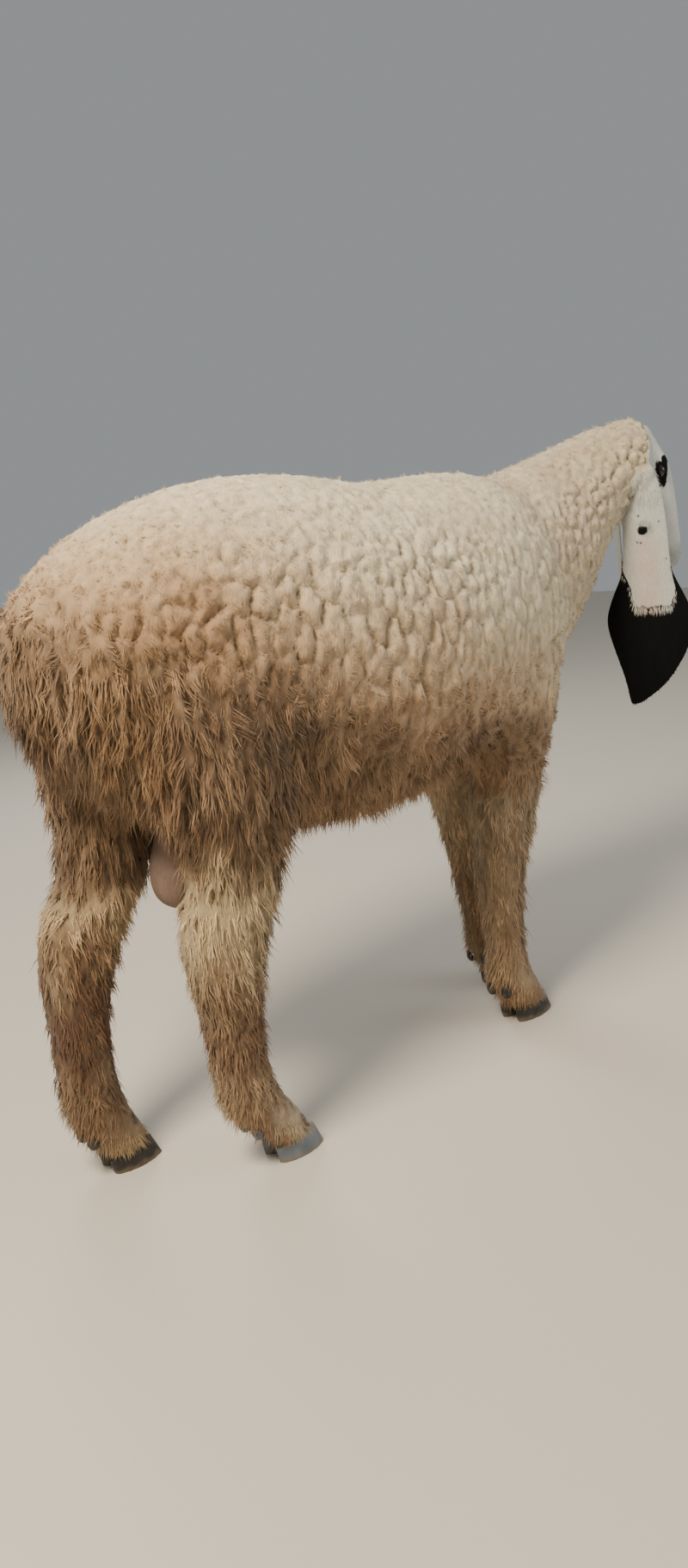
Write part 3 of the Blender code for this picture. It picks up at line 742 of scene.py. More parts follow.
def unwrap(points, tube_index):
    """Where points lie on the unwrap, along and round the tube that each belongs to, and their angles."""
    spots = np.zeros((len(points), 2))
    angles = np.zeros(len(points))
    for i, name in enumerate(TUBE_NAMES):
        chosen = tube_index == i
        if not chosen.any():
            continue
        tube = TUBES[name]
        start, end = np.array(tube.start), np.array(tube.end)
        axis = (end - start) / np.linalg.norm(end - start)
        up = np.array(tube.up) - axis * np.dot(tube.up, axis)
        up = up / np.linalg.norm(up)
        side = np.cross(axis, up)
        away = points[chosen] - start
        along = np.clip(away @ axis / np.linalg.norm(end - start), 0, 1)
        angle = np.arctan2(away @ side, away @ up) / (2 * math.pi) + 0.5
        angles[chosen] = angle
        spots[chosen, 0] = tube.corner[0] + tube.size[0] * along
        spots[chosen, 1] = tube.corner[1] + tube.size[1] * (0.02 + ROUND * angle)
    return spots, angles


def tube_of(points, shares):
    """The tube of the unwrap that each point of the wool belongs to."""
    side = np.where(points[:, 1] > 0, "left", "right")
    part = np.array(PARTS)[np.argmax(np.stack([shares[name] for name in PARTS]), axis=0)]
    index = np.zeros(len(points), int)
    for i, name in enumerate(TUBE_NAMES):
        if name in PARTS:
            index[part == name] = i
        elif name in CORNERS:
            end, hand = name.split("_")
            index[(part == end) & (side == hand)] = i
    return index


# ---- Tufts ----
PATCH = 0.003             # of one tuft on the unwrap
SOFT_SHADE = 0.55         # how far a tuft is shaded like the fleece below it
BURIED = 0.004            # most that a tuft's root lies below the surface
GIRTH = ((0, 0.75), (0.3, 1.0), (0.65, 0.72), (1.0, 0.0))       # of a tuft along its length

Coat = namedtuple("Coat", "points normals loops starts totals tint uv")


class Roots:
    """Random places over a surface of quads, so many to the square metre."""

    def __init__(self, points, faces, normals, density, seed):
        rng = np.random.default_rng(seed)
        number = np.floor(areas(points, faces) * density + rng.random(len(faces))).astype(int)
        self.face = np.repeat(np.arange(len(faces)), number)
        self.count = len(self.face)
        u, v = rng.random(self.count), rng.random(self.count)
        self.weight = np.stack([(1 - u) * (1 - v), u * (1 - v), u * v, (1 - u) * v], axis=1)
        self.corners = faces[self.face]
        self.points = self.of(points)
        self.normals = unit(self.of(normals))

    def of(self, values):
        """The surface's values at the roots."""
        weight = self.weight if values.ndim == 1 else self.weight[:, :, None]
        return (values[self.corners] * weight).sum(axis=1)


def tufts(roots, aim, length, width, tint, tip_tint, spot, rings, rise, wave, seed):
    """Closed three-sided tufts that bend from rise towards aim and end in a point, as one mesh's arrays."""
    rng = np.random.default_rng(seed)
    normal, count = roots.normals, roots.count
    shares = np.linspace(0, 1, rings + 1)[:-1]
    lift = unit(normal * np.reshape(rise, (-1, 1)) + aim)
    start = roots.points - normal * (0.25 * length)[:, None].clip(0, BURIED)
    knee = start + lift * (0.45 * length)[:, None]
    end = start + unit(aim) * length[:, None]
    swing = unit(rng.normal(size=(count, 3)))
    swing = unit(swing - aim * dots(swing, aim)[:, None])
    phase = rng.uniform(0, 2 * math.pi, count)
    turns = rng.uniform(1.2, 2.2, count) * math.pi
    rows, facings, below = [], [], []
    soft = normal * SOFT_SHADE
    for share in shares:
        centre = start * (1 - share) ** 2 + knee * 2 * share * (1 - share) + end * share ** 2
        centre = centre + swing * (wave * length * share * np.sin(phase + turns * share))[:, None]
        heading = unit((knee - start) * (1 - share) + (end - knee) * share)
        flank = unit(np.cross(heading, normal + 1e-4))
        ridge = np.cross(flank, heading)
        size = width * course(share, GIRTH)
        rows += [centre + flank * size[:, None], centre + ridge * (size * 0.55)[:, None],
                 centre - flank * size[:, None]]
        facings += [soft + flank * (1 - SOFT_SHADE), soft + ridge * (1 - SOFT_SHADE),
                    soft - flank * (1 - SOFT_SHADE)]
        below += [normal * 0.3 - ridge] * 3
    tip = end + swing * (wave * length * np.sin(phase + turns))[:, None]
    points = np.concatenate([np.stack(rows, axis=1), tip[:, None]], axis=1)
    facing = unit(np.stack(facings + [normal], axis=1).reshape(-1, 3))
    below = unit(np.stack(below + below[-1:], axis=1).reshape(-1, 3))
    per = points.shape[1]

    quads = [(3 * r + s, 3 * r + 3 + s, 3 * r + 3 + (s + 1) % 3, 3 * r + (s + 1) % 3)
             for r in range(rings - 1) for s in range(3)]
    last = 3 * (rings - 1)
    triangles = [(last + (s + 1) % 3, last + s, per - 1) for s in range(3)] + [(0, 1, 2)]
    pattern = np.array([corner for face in quads + triangles for corner in face])
    sizes = np.array([4] * len(quads) + [3] * len(triangles))
    # The underside and the root's cap face the fleece and get normals of their own.
    lower = np.repeat([face % 3 == 2 for face in range(len(quads))] + [False, False, True, True], sizes)
    loops = (pattern[None, :] + (np.arange(count) * per)[:, None]).reshape(-1)
    facing = np.where(np.tile(lower, count)[:, None], below[loops], facing[loops])
    totals = np.tile(sizes, count)
    starts = np.concatenate([[0], np.cumsum(totals)[:-1]])

    way = np.concatenate([np.repeat(shares, 3), [1.0]])
    shade = tint[:, None] * (1 - way)[None, :, None] + tip_tint[:, None] * way[None, :, None]
    across = np.concatenate([np.tile((0.0, 0.5, 1.0), rings), [0.5]])
    patch = np.stack([way, across], axis=1) * PATCH - PATCH / 2
    uv = spot[:, None] + patch[None]
    return Coat(points.reshape(-1, 3), facing, loops, starts, totals, shade.reshape(-1, 3), uv.reshape(-1, 2))


def coat_mesh(name, coat):
    """The mesh of a coat's tufts."""
    mesh = bpy.data.meshes.new(name)
    mesh.vertices.add(len(coat.points))
    mesh.vertices.foreach_set("co", coat.points.reshape(-1).astype(np.float32))
    mesh.loops.add(len(coat.loops))
    mesh.loops.foreach_set("vertex_index", coat.loops.astype(np.int32))
    mesh.polygons.add(len(coat.starts))
    mesh.polygons.foreach_set("loop_start", coat.starts.astype(np.int32))
    mesh.polygons.foreach_set("loop_total", coat.totals.astype(np.int32))
    lay_out(mesh, coat.uv[coat.loops])
    paint(mesh, coat.tint)
    mesh.update(calc_edges=True)
    mesh.validate()
    mesh.shade_smooth()
    mesh.normals_split_custom_set(coat.normals.tolist())
    return mesh


# ---- Materials ----
def node(tree, kind, links=(), **settings):
    """Adds a node; settings named after an input set that input, and links feed the inputs that they name."""
    made = tree.nodes.new(kind)
    for key, value in settings.items():
        label = key.replace("_", " ")
        if hasattr(made, key):
            setattr(made, key, value)
        else:
            made.inputs[label].default_value = value
    for label, source in dict(links).items():
        tree.links.new(source, made.inputs[label])
    return made


def new_material(name, **inputs):
    """A material and its shader, with some of the shader's inputs set."""
    material = bpy.data.materials.new(name)
    material.use_nodes = True
    shader = material.node_tree.nodes["Principled BSDF"]
    for key, value in inputs.items():
        shader.inputs[key.replace("_", " ")].default_value = value
    return material, shader


def tinted(name, **inputs):
    """A material that takes its colour from the mesh's tint."""
    material, shader = new_material(name, **inputs)
    tree = material.node_tree
    tint = node(tree, "ShaderNodeAttribute", attribute_name="tint")
    tree.links.new(tint.outputs["Color"], shader.inputs["Base Color"])
    return material, tree, shader


def grain(tree, place, scale, detail, upright=1.0):
    """Noise over the object's places, with long grains where upright is below 1."""
    if upright != 1.0:
        mapping = node(tree, "ShaderNodeMapping", {"Vector": place}, Scale=(1.0, 1.0, upright))
        place = mapping.outputs["Vector"]
    return node(tree, "ShaderNodeTexNoise", {"Vector": place}, Scale=scale, Detail=detail).outputs["Fac"]


def mottle(tree, shader, noise, between, tones):
    """Makes the shader's colour darker and lighter: noise values between these give these tones."""
    shade = node(tree, "ShaderNodeMapRange", {"Value": noise}, From_Min=between[0], From_Max=between[1],
                 To_Min=tones[0], To_Max=tones[1])
    plain_tint = shader.inputs["Base Color"].links[0].from_socket
    scaled = node(tree, "ShaderNodeVectorMath", {0: plain_tint}, operation="SCALE")
    tree.links.new(shade.outputs["Result"], scaled.inputs["Scale"])
    tree.links.new(scaled.outputs["Vector"], shader.inputs["Base Color"])


def roughen(tree, shader, noise, strength, distance):
    """Gives the shader fine relief from a noise."""
    relief = node(tree, "ShaderNodeBump", {"Height": noise}, Strength=strength, Distance=distance)
    tree.links.new(relief.outputs["Normal"], shader.inputs["Normal"])


@lru_cache(maxsize=None)
def wool_material():
    """Sheep's wool with its grease: matt fibres that catch a soft edge of light."""
    material, tree, shader = tinted("greasy_wool_crimped", Roughness=0.92,
                                    Sheen_Weight=0.15, Sheen_Roughness=0.6)
    place = node(tree, "ShaderNodeTexCoord").outputs["Object"]
    mottle(tree, shader, grain(tree, place, 75.0, 2.0), (0.3, 0.7), (0.86, 1.08))
    roughen(tree, shader, grain(tree, place, 330.0, 4.0, 0.35), 0.8, 0.0022)
    return material


@lru_cache(maxsize=None)
def hide_material():
    """Living skin under short hair: soft, slightly greasy, with fine creases."""
    material, tree, shader = tinted("hide_short_haired", Roughness=0.70, Specular_IOR_Level=0.12)
    pore = grain(tree, node(tree, "ShaderNodeTexCoord").outputs["Object"], 640.0, 3.0, 0.22)
    mottle(tree, shader, pore, (0.35, 0.65), (0.84, 1.02))
    roughen(tree, shader, pore, 0.7, 0.0012)
    return material


@lru_cache(maxsize=None)
def hair_material():
    """Short straight hair: smoother than wool, so it shines a little along its lie."""
    return tinted("short_hair_sleek", Roughness=0.70, Specular_IOR_Level=0.12)[0]


@lru_cache(maxsize=None)
def horn_material():
    """Hoof horn: hard keratin with growth rings, dusty and half polished by walking."""
    material, tree, shader = tinted("hoof_keratin", Roughness=0.5)
    place = node(tree, "ShaderNodeTexCoord").outputs["Object"]
    roughen(tree, shader, grain(tree, place, 260.0, 4.0), 0.4, 0.0008)
    return material


@lru_cache(maxsize=None)
def eye_material():
    """A living eye: colour under a clear, wet cornea."""
    return tinted("eye_wet_cornea", Roughness=0.08, IOR=1.376, Coat_Weight=0.8, Coat_Roughness=0.03)[0]


# ---- The fleece ----
FRONT_SHARE = -0.12       # the bed's two pieces meet at this x
SHOULDER = 0.02           # pieces of wool meet at these places along the animal
RUMP = -0.30
BELLY_LINE = ((-0.6, 0.74), (-0.2, 0.66), (0.1, 0.60), (0.35, 0.58))     # and at this height along it
DOWN = np.array((0.0, 0.0, -1.0))
BACK = np.array((-1.0, 0.0, 0.0))
MOST_TRIANGLES = 193060   # of one piece
# Where the wool is puffed, and where it hangs: spacing of the little locks, half width of a tuft, and tufts
# to the square metre on pieces that are mostly puffed and on those that mostly hang.
LOCK_SPACING = (0.0100, 0.0150)
TUFT_WIDTH = (0.00074, 0.00105)
PUFFED_TUFTS = (110000.0, 75000.0)
HANGING_TUFTS = (60000.0, 46000.0)
RIM_HAIRS = 170000.0      # to the square metre, over the hooves
FEATHER_HAIRS = 80000.0   # and behind the fetlocks

Locks = namedtuple("Locks", "tree home way reach tone")


def unwrapped(points, faces, tube):
    """The places of the quads' corners on the unwrap, each quad kept in one piece across a tube's seam."""
    spots = np.zeros((len(faces), 4, 2))
    spots[:, 0], first_angle = unwrap(points[faces[:, 0]], tube)
    heights = np.array([TUBES[name].size[1] for name in TUBE_NAMES])[tube] * ROUND
    for k in (1, 2, 3):
        spots[:, k], angle = unwrap(points[faces[:, k]], tube)
        spots[:, k, 1] -= np.round(angle - first_angle) * heights
    return spots


def make_bed():
    """The felted mass of the fleece, parted into the body's and the legs' share."""
    made = bed()
    on_leg = made.leg[made.faces].mean(axis=1) > 0.5
    woolly = made.bare[made.faces].mean(axis=1) < 0.93
    front = made.points[made.faces].mean(axis=1)[:, 0] > FRONT_SHARE
    for name, chosen, slot in (
        ("fleece_bed_front", ~on_leg & front, "fleece"),
        ("fleece_bed_rear", ~on_leg & ~front, "fleece"),
        ("leg_wool_bed", on_leg, "leg_wool"),
    ):
        used, faces = np.unique(made.faces[chosen & woolly], return_inverse=True)
        faces = faces.reshape(-1, 4)
        points = made.points[used]
        mesh = new_mesh(name, points, faces)
        tube = tube_of(points, {key: value[used] for key, value in made.shares.items()})[faces[:, 0]]
        lay_out(mesh, unwrapped(points, faces, tube))
        # The gaps between hanging locks are darker than their tips: painted shade, which darkens the bed more
        # where the locks hang.
        paint(mesh, (made.tint * (1 - 0.35 * made.shag)[:, None])[used])
        mesh.shade_smooth()
        mesh.normals_split_custom_set_from_vertices(made.normals[used].tolist())
        finished(name, mesh, wool_material(), ())


def lock_pieces():
    """The coat's pieces: which part of the bed each one grows on, and how."""
    made = bed()
    centre = made.points[made.faces].mean(axis=1)
    share = {key: value[made.faces].mean(axis=1) for key, value in made.shares.items()}
    leg = (share["front"] + share["hind"]) > 0.5
    neck = (share["neck"] + share["head"] > 0.5) & ~leg
    tail = (share["tail"] > 0.5) & ~leg
    trunk = ~(leg | neck | tail)
    left = centre[:, 1] > 0
    x, z = centre[:, 0], centre[:, 2]
    low = z < course(x, BELLY_LINE)
    shoulder = trunk & ~low & (x > SHOULDER)
    back = trunk & ~low & (x <= SHOULDER) & (x > RUMP)
    return (
        ("neck_fleece", neck, "fleece"),
        ("shoulder_fleece_left", shoulder & left, "fleece"),
        ("shoulder_fleece_right", shoulder & ~left, "fleece"),
        ("back_fleece_left", back & left, "fleece"),
        ("back_fleece_right", back & ~left, "fleece"),
        ("rump_fleece", trunk & ~low & (x <= RUMP), "fleece"),
        ("flank_locks_left", trunk & low & left, "fleece"),
        ("flank_locks_right", trunk & low & ~left, "fleece"),
        ("tail_locks", tail, "fleece"),
        ("leg_locks_front", leg & (x > -0.15), "leg_wool"),
        ("leg_locks_hind", leg & (x <= -0.15), "leg_wool"),
    )


@lru_cache(maxsize=None)
def locks():
    """The little locks into which the wool gathers: a tree of their roots, their way, reach and tone."""
    made = bed()
    look = look_of("fleece")
    rng = np.random.default_rng(77)
    spacing = mix(*LOCK_SPACING, made.shag) * (1 - 0.2 * made.leg) * 0.8
    place = unstretched(made.points)
    chosen = thinned(place, spacing, 78)
    points, normals = made.points[chosen], made.normals[chosen]
    shag, leg = made.shag[chosen], made.leg[chosen]
    foot = leg * ramp(points[:, 2], 0.17, 0.05)
    count = len(chosen)
    whorl = math.pi * 2.0 * swell(points, 0.022, 79)
    side = unit(np.cross(normals, DOWN + 0.01))
    swirl = side * np.cos(whorl)[:, None] + np.cross(side, normals) * np.sin(whorl)[:, None]
    drift = unit(rng.normal(size=(count, 3)))
    aim = normals * mix(0.55, 0.16, shag)[:, None] + swirl * mix(0.75, 0.16, shag)[:, None]
    aim = aim + DOWN * mix(0.35, 1.0, shag)[:, None] + BACK * (mix(0.15, 0.12, shag) * (1 - leg))[:, None]
    aim = raised(unit(aim + drift * mix(0.25, 0.22, shag)[:, None]), normals, 0.10)
    feather = leg * hill(points[:, 2], 0.125, 0.05) * ramp(normals[:, 0], 0.0, -0.7)
    reach = mix(look.short_lock, look.long_lock, shag) * rng.uniform(0.75, 1.3, count)
    reach = reach * (1 - 0.62 * foot * (1 - feather))
    reach = np.maximum(reach * (1 - 0.25 * leg), 0.0125 * foot)
    return Locks(point_tree(place[chosen]), points, aim, reach, 1 + uneven(rng, count, mix(0.10, 0.16, shag)))


def make_locks():
    """The locks of wool that stand or hang on the bed."""
    made = bed()
    bunch = locks()
    woolly = made.bare[made.faces].mean(axis=1) < 0.5
    for i, (name, chosen, slot) in enumerate(lock_pieces()):
        faces = made.faces[chosen & woolly]
        face_shag = made.shag[faces].mean(axis=1)
        rings = 2 if face_shag.mean() > 0.40 else 1
        each = 6 * (rings - 1) + 4
        density = mix(*(PUFFED_TUFTS if rings == 1 else HANGING_TUFTS), face_shag)
        expected = (areas(made.points, faces) * density).sum()
        density = density * min(1.0, MOST_TRIANGLES / each / expected)
        roots = Roots(made.points, faces, made.normals, density, 100 + i)
        rng = np.random.default_rng(200 + i)
        count = roots.count
        shag, crack = roots.of(made.shag), roots.of(made.crack)
        foot = roots.of(made.leg) * ramp(roots.points[:, 2], 0.16, 0.05)
        group = np.array([bunch.tree.find(spot)[1] for spot in unstretched(roots.points).tolist()])
        way, reach = bunch.way[group], bunch.reach[group]
        inward = unit(bunch.home[group] + way * reach[:, None] - roots.points)
        gather = mix(0.45, 0.60, shag)[:, None]
        aim = unit(way * (1 - gather) + inward * gather + rng.normal(size=(count, 3)) * 0.12)
        aim = raised(aim, roots.normals, 0.05)
        length = reach * rng.uniform(0.65, 1.12, count) * (1 - 0.35 * crack)
        width = mix(*TUFT_WIDTH, shag) * rng.uniform(0.75, 1.25, count) * (1 - 0.35 * foot)
        tone = bunch.tone[group] * (1 + uneven(rng, count, 0.09))
        tint = np.clip(roots.of(made.tint) * tone[:, None], 0, 0.95)
        # Painted light and shade: tips are lightened and roots darkened, more where the locks hang, so that
        # the tips look lit and the gaps between them shaded.
        tip_tint = np.clip(tint * mix(1.10, 1.34, shag)[:, None], 0, 0.95)
        root_tint = tint * mix(0.80, 0.62, shag)[:, None]
        spots, _ = unwrap(roots.points, tube_of(roots.points, shares_at(roots)))
        coat = tufts(roots, aim, length, width, root_tint, tip_tint, spots, rings,
                     mix(0.45, 0.35, shag), mix(0.08, 0.07, shag), 300 + i)
        finished(name, coat_mesh(name, coat), wool_material(), ())


def shares_at(roots):
    """How far each root on the bed belongs to each of PARTS."""
    return {key: roots.of(value) for key, value in bed().shares.items()}


def make_foot_hair():
    """Hair that hangs over the hooves, and the feather behind the fetlocks that hides the dewclaws."""
    made = bed()
    height = made.points[made.faces].mean(axis=1)[:, 2]
    facing = made.normals[made.faces].mean(axis=1)
    rim = ramp(height, 0.066, 0.050) * ramp(facing[:, 2], -0.75, -0.35)
    feather = hill(height, 0.112, 0.045) * ramp(facing[:, 0], 0.1, -0.5)
    density = RIM_HAIRS * rim + FEATHER_HAIRS * feather
    chosen = (made.leg[made.faces].mean(axis=1) > 0.5) & (density > 1000)
    roots = Roots(made.points, made.faces[chosen], made.normals, density[chosen], 700)
    count = roots.count
    rng = np.random.default_rng(701)
    rim = rim[chosen][roots.face]
    outward = roots.normals * mix(0.32, 0.60, rim)[:, None]
    aim = unit(DOWN + outward + BACK * ((1 - rim) * 0.35)[:, None] + rng.normal(size=(count, 3)) * 0.16)
    length = mix(0.026, 0.019, rim) * rng.uniform(0.6, 1.15, count)
    width = mix(0.00095, 0.00075, rim) * rng.uniform(0.75, 1.25, count)
    tint = np.clip(roots.of(made.tint) * (1 + uneven(rng, count, 0.12))[:, None], 0, 0.9)
    spots, _ = unwrap(roots.points, tube_of(roots.points, shares_at(roots)))
    # Painted light and shade: the hairs' tips are lightened and their roots darkened.
    tip_tint = np.clip(tint * 1.1, 0, 0.95)
    coat = tufts(roots, aim, length, width, tint * 0.85, tip_tint, spots, 2, 0.35, 0.07, 702)
    finished("foot_hair", coat_mesh("foot_hair", coat), wool_material(), ())


# ---- The head: places of its features in its own frame, the left side's given ----
EYE_SPOT = np.array((0.074, 0.0445, 0.019))
EYE_OUT = np.array((0.10, 0.985, 0.14))        # the way the left eye looks
LID_SLANT = np.array((1.0, 0.0, -0.16))        # the way of the opening between its lids
NOSTRIL = np.array(((0.2475, 0.0060, -0.0085), (0.2410, 0.0140, 0.0015), (0.2300, 0.0225, 0.0075)))
MOUTH = np.array(((0.2520, 0.0, -0.0195), (0.2380, 0.0235, -0.0200), (0.1930, 0.0345, -0.0290)))
CHEEK_CREST = np.array(((0.100, 0.055, -0.012), (0.150, 0.044, -0.010)))
PATCH_HOOK = np.array(((0.080, 0.024), (0.068, 0.031), (0.061, 0.036), (0.061, 0.046)))   # seen from the side
# Swellings of the skin, hollows where they are negative: height, centre and size.
SWELLINGS = (
    (0.0035, (0.052, 0.050, -0.048), (0.050, 0.050, 0.034)),       # cheek muscle
    (-0.0050, (0.142, 0.040, -0.020), (0.040, 0.030, 0.024)),      # before the cheek
    (0.0040, (0.066, 0.048, 0.043), (0.028, 0.020, 0.014)),        # brow
    (-0.0020, (0.110, 0.045, 0.020), (0.022, 0.020, 0.012)),       # before the eye
    (0.0032, (0.236, 0.022, -0.002), (0.018, 0.020, 0.018)),       # wing of the nostril
    (0.0055, (0.224, 0.008, -0.042), (0.024, 0.030, 0.014)),       # chin
)


def flips(rows):
    """What turns each row of the right half over to the left, and back again."""
    return np.where(rows[:, 1:2] < 0, np.array((1.0, -1.0, 1.0)), 1.0)


def mirrored(rows):
    """The rows in the head's frame with their right half turned over to the left."""
    return rows * flips(rows)


def to_model(rows):
    """Rows in the head's own frame as points of the model."""
    return rows @ HEAD_TURN.T + HEAD_PLACE


def ridge(distance, crest, width):
    """1 where the distance is that of the crest, 0 beyond about two widths from it."""
    return np.exp(-((distance - crest) / width) ** 2)


def eye_axes():
    """The left eye's ways out of the head, along the opening of its lids, and up across it."""
    out = EYE_OUT / np.linalg.norm(EYE_OUT)
    along = LID_SLANT - out * np.dot(LID_SLANT, out)
    along = along / np.linalg.norm(along)
    return out, along, np.cross(along, out)


def lid_place(rows):
    """How far each row of the left half is from the eye's middle, 1 on the lids' edge, and its height."""
    look = look_of("head")
    _, along, high = eye_axes()
    away = rows - EYE_SPOT
    x, y = away @ along / look.lid_length, away @ high / look.lid_height
    y = np.where(y < 0, y * 1.25, y)
    opening = np.sqrt(np.clip(1.08 - 0.75 * np.minimum(x * x, 1), 0.2, 2))
    return np.sqrt(x * x + (y / opening) ** 2), y


def sculpted(points, normals, ears):
    """The skin's points with the features of the head: lids, cheeks, nostrils and lips."""
    left = mirrored(to_head(points))
    on_head = 1 - ears
    rise = 0.0022 * ridge(from_path(left, CHEEK_CREST), 0, 0.007)
    for height, centre, size in SWELLINGS:
        rise += height * bump(left, centre, size)
    lips, nostril = from_path(left, MOUTH), from_path(left, NOSTRIL)
    rise += 0.0016 * ridge(lips, 0.006, 0.0035) * ramp(left[:, 0], 0.185, 0.205)
    rise -= 0.0034 * ridge(lips, 0, 0.0017)
    rise += 0.0016 * ridge(nostril, 0.0052, 0.0022)
    rise -= 0.0062 * ridge(nostril, 0, 0.0030)
    below_nose = (left[:, 0] >= 0.236) & (left[:, 2] <= 0.0) & (left[:, 2] >= -0.02)
    rise -= 0.0016 * ridge(left[:, 1], 0, 0.0014) * below_nose
    near, y = lid_place(left)
    outward = (left - EYE_SPOT) @ EYE_OUT > -0.004
    rise -= 0.0012 * ridge(near, 2.05, 0.16) * (y > 0) * outward      # folds of the lids
    rise -= 0.0008 * ridge(near, 1.85, 0.14) * (y < 0) * outward
    rows = to_head(points + normals * (rise * on_head)[:, None])

    # Lids lie over the eyeball, and the skin between them goes behind it.
    flip = flips(rows)
    left = rows * flip
    away = left - EYE_SPOT
    far = np.maximum(np.linalg.norm(away, axis=1), 1e-6)
    radius = np.linalg.norm(size_of("eye_left")) / 2 / math.sqrt(3)
    lid = look_of("head").lid_rise * ramp(near, 0.97, 1.12)
    wanted = radius + np.where(near < 1, -0.0022 * ramp(near, 1.0, 0.86), lid)
    placed = EYE_SPOT + away / far[:, None] * wanted[:, None]
    left = mix(left, placed, ramp(near, 2.0, 1.25) * outward * on_head)
    return to_model(left * flip)


# ---- The ears' own measure: share of the length from root to tip, and distance across ----
EAR_LOBE = 0.024                   # half the width of the ear's rounded tip
LOBE_START, LOBE_ROUND = 0.82, 0.84      # where it widens the ear, and where it begins to round off
EAR_FULLNESS = 0.0006              # gives back what rounding takes from the ears
EAR_BASE = (0.038, 0.025, 0.017)   # half sizes of the muscle at the ear's root: down, across and outwards
EAR_BASE_AT = 0.075                # its place, as a share of the ear's length
EAR_BASE_IN = 0.011                # and how far it is set towards the head
# The hem of the ear's white part: the share of the length where it lies, by distance from the middle.
HEM_LINE = ((0.0, 0.580), (0.024, 0.578), (0.031, 0.572), (0.036, 0.53), (0.041, 0.41), (0.06, 0.36))
SPOT_AT = (0.262, -0.004)          # the round spot of the right ear: share of the length, and across
# Smaller spots: how far along and across, and size. The right ear's are placed from its round spot, the left
# one's from its root.
RIGHT_SPECKS = ((-0.025, -0.006, 0.0025), (-0.014, 0.028, 0.0022), (0.021, -0.004, 0.0028),
                (0.020, -0.010, 0.0022), (0.050, 0.038, 0.0020), (-0.004, 0.006, 0.0035))
LEFT_SPOTS = ((0.10, 0.010, 0.0060), (0.122, -0.012, 0.0035), (0.085, -0.020, 0.0028),
              (0.135, 0.016, 0.0026), (0.060, 0.014, 0.0022), (0.160, -0.004, 0.0024))

Ear = namedtuple("Ear", "middle down across top length knots bend")


@lru_cache(maxsize=None)
def ear(item):
    """The ear's ways down and across, its length, and how its middle line bends at some knots along it."""
    points, _ = node_arrays(item)
    centre = points.mean(axis=0)
    down, across, _ = np.linalg.svd(points - centre, full_matrices=False)[2]
    down = down if down[2] < 0 else -down
    across = across if across[0] > 0 else -across
    along = (points - centre) @ down
    side = (points - centre) @ across
    share = (along - along.min()) / np.ptp(along)
    knots = np.linspace(0, 1, 15)
    rings = [side[np.abs(share - knot) < 0.05] for knot in knots]
    middles = np.array([(ring.max() + ring.min()) / 2 if len(ring) else np.nan for ring in rings])
    known = ~np.isnan(middles)
    bend = np.interp(knots, knots[known], middles[known])
    return Ear(centre, down, across, along.min(), np.ptp(along), knots, bend)


def ear_place(points, item):
    """Share of the ear's length, and distance across from its bent middle line."""
    own = ear(item)
    away = points - own.middle
    share = (away @ own.down - own.top) / own.length
    return share, away @ own.across - np.interp(share, own.knots, own.bend)


def past_hem(points, item):
    """How far each point lies beyond the hem of the ear's white part, as a share of the ear's length."""
    share, across = ear_place(points, item)
    side = np.abs(across - 0.007 * ramp(share, 0.40, 0.56))
    return share - course(side, HEM_LINE)


def ear_root(item, share):
    """The middle of the ear at a share of its length, and the way from there to the head."""
    own = ear(item)
    bend = own.across * np.interp(share, own.knots, own.bend)
    spot = own.middle + own.down * (own.top + share * own.length) + bend
    inward = middle("head") - spot
    inward = inward - own.down * np.dot(inward, own.down)
    return spot, inward / np.linalg.norm(inward)


def ear_base(item):
    """The muscle that carries the ear, an egg between the head and the ear's blade, as points and faces."""
    spot, inward = ear_root(item, EAR_BASE_AT)
    down = ear(item).down
    form = bmesh.new()
    bmesh.ops.create_icosphere(form, subdivisions=4, radius=1.0)
    ball = np.array([vert.co[:] for vert in form.verts])
    faces = np.array([[vert.index for vert in face.verts] for face in form.faces])
    form.free()
    axes = np.stack([down, np.cross(down, inward), inward])
    return spot + inward * EAR_BASE_IN + (ball * np.array(EAR_BASE)) @ axes, faces


def ear_root_share(points):
    """1 round the roots of the ears, 0 a few centimetres away."""
    return ramp(from_nearest(points, [ear_root(item, EAR_BASE_AT)[0] for item in EAR_NODES]), 0.041, 0.029)


def ear_part(item):
    """The ear's blade, rounded from the solid's copy."""
    part = show("ear_part", new_mesh("ear_part", *node_arrays(item)))
    with edited(part.data) as form:
        bmesh.ops.join_triangles(form, faces=form.faces, angle_face_threshold=0.7, angle_shape_threshold=3.1)
    rounding = part.modifiers.new("rounding", "SUBSURF")
    rounding.levels = rounding.render_levels = 3
    points, faces = as_arrays(result(part))
    part.modifiers.clear()
    points = points + normals_of(points, faces) * EAR_FULLNESS
    share, across = ear_place(points, item)
    bands = np.linspace(0.80, 1.0, 21)
    half = np.array([np.abs(across[np.abs(share - band) < 0.008]).max(initial=0.001) for band in bands])
    lobe = EAR_LOBE * np.sqrt(np.clip(1 - ((bands - LOBE_ROUND) / 0.16) ** 2, 0, 1))
    wider = np.interp(share, bands, np.maximum(lobe / half, 1.0).clip(1, 2.5))
    wider = np.where(share > LOBE_START, wider, 1.0)
    points = points + ear(item).across * (across * (wider - 1))[:, None]
    part.data = new_mesh("ear_part", points, faces)
    return part


# ---- Colours of the skin and its short hair ----
SKIN_TONE = linear("#B99C88")      # below the wool
SCROTUM_TONE = linear("#8B7568")


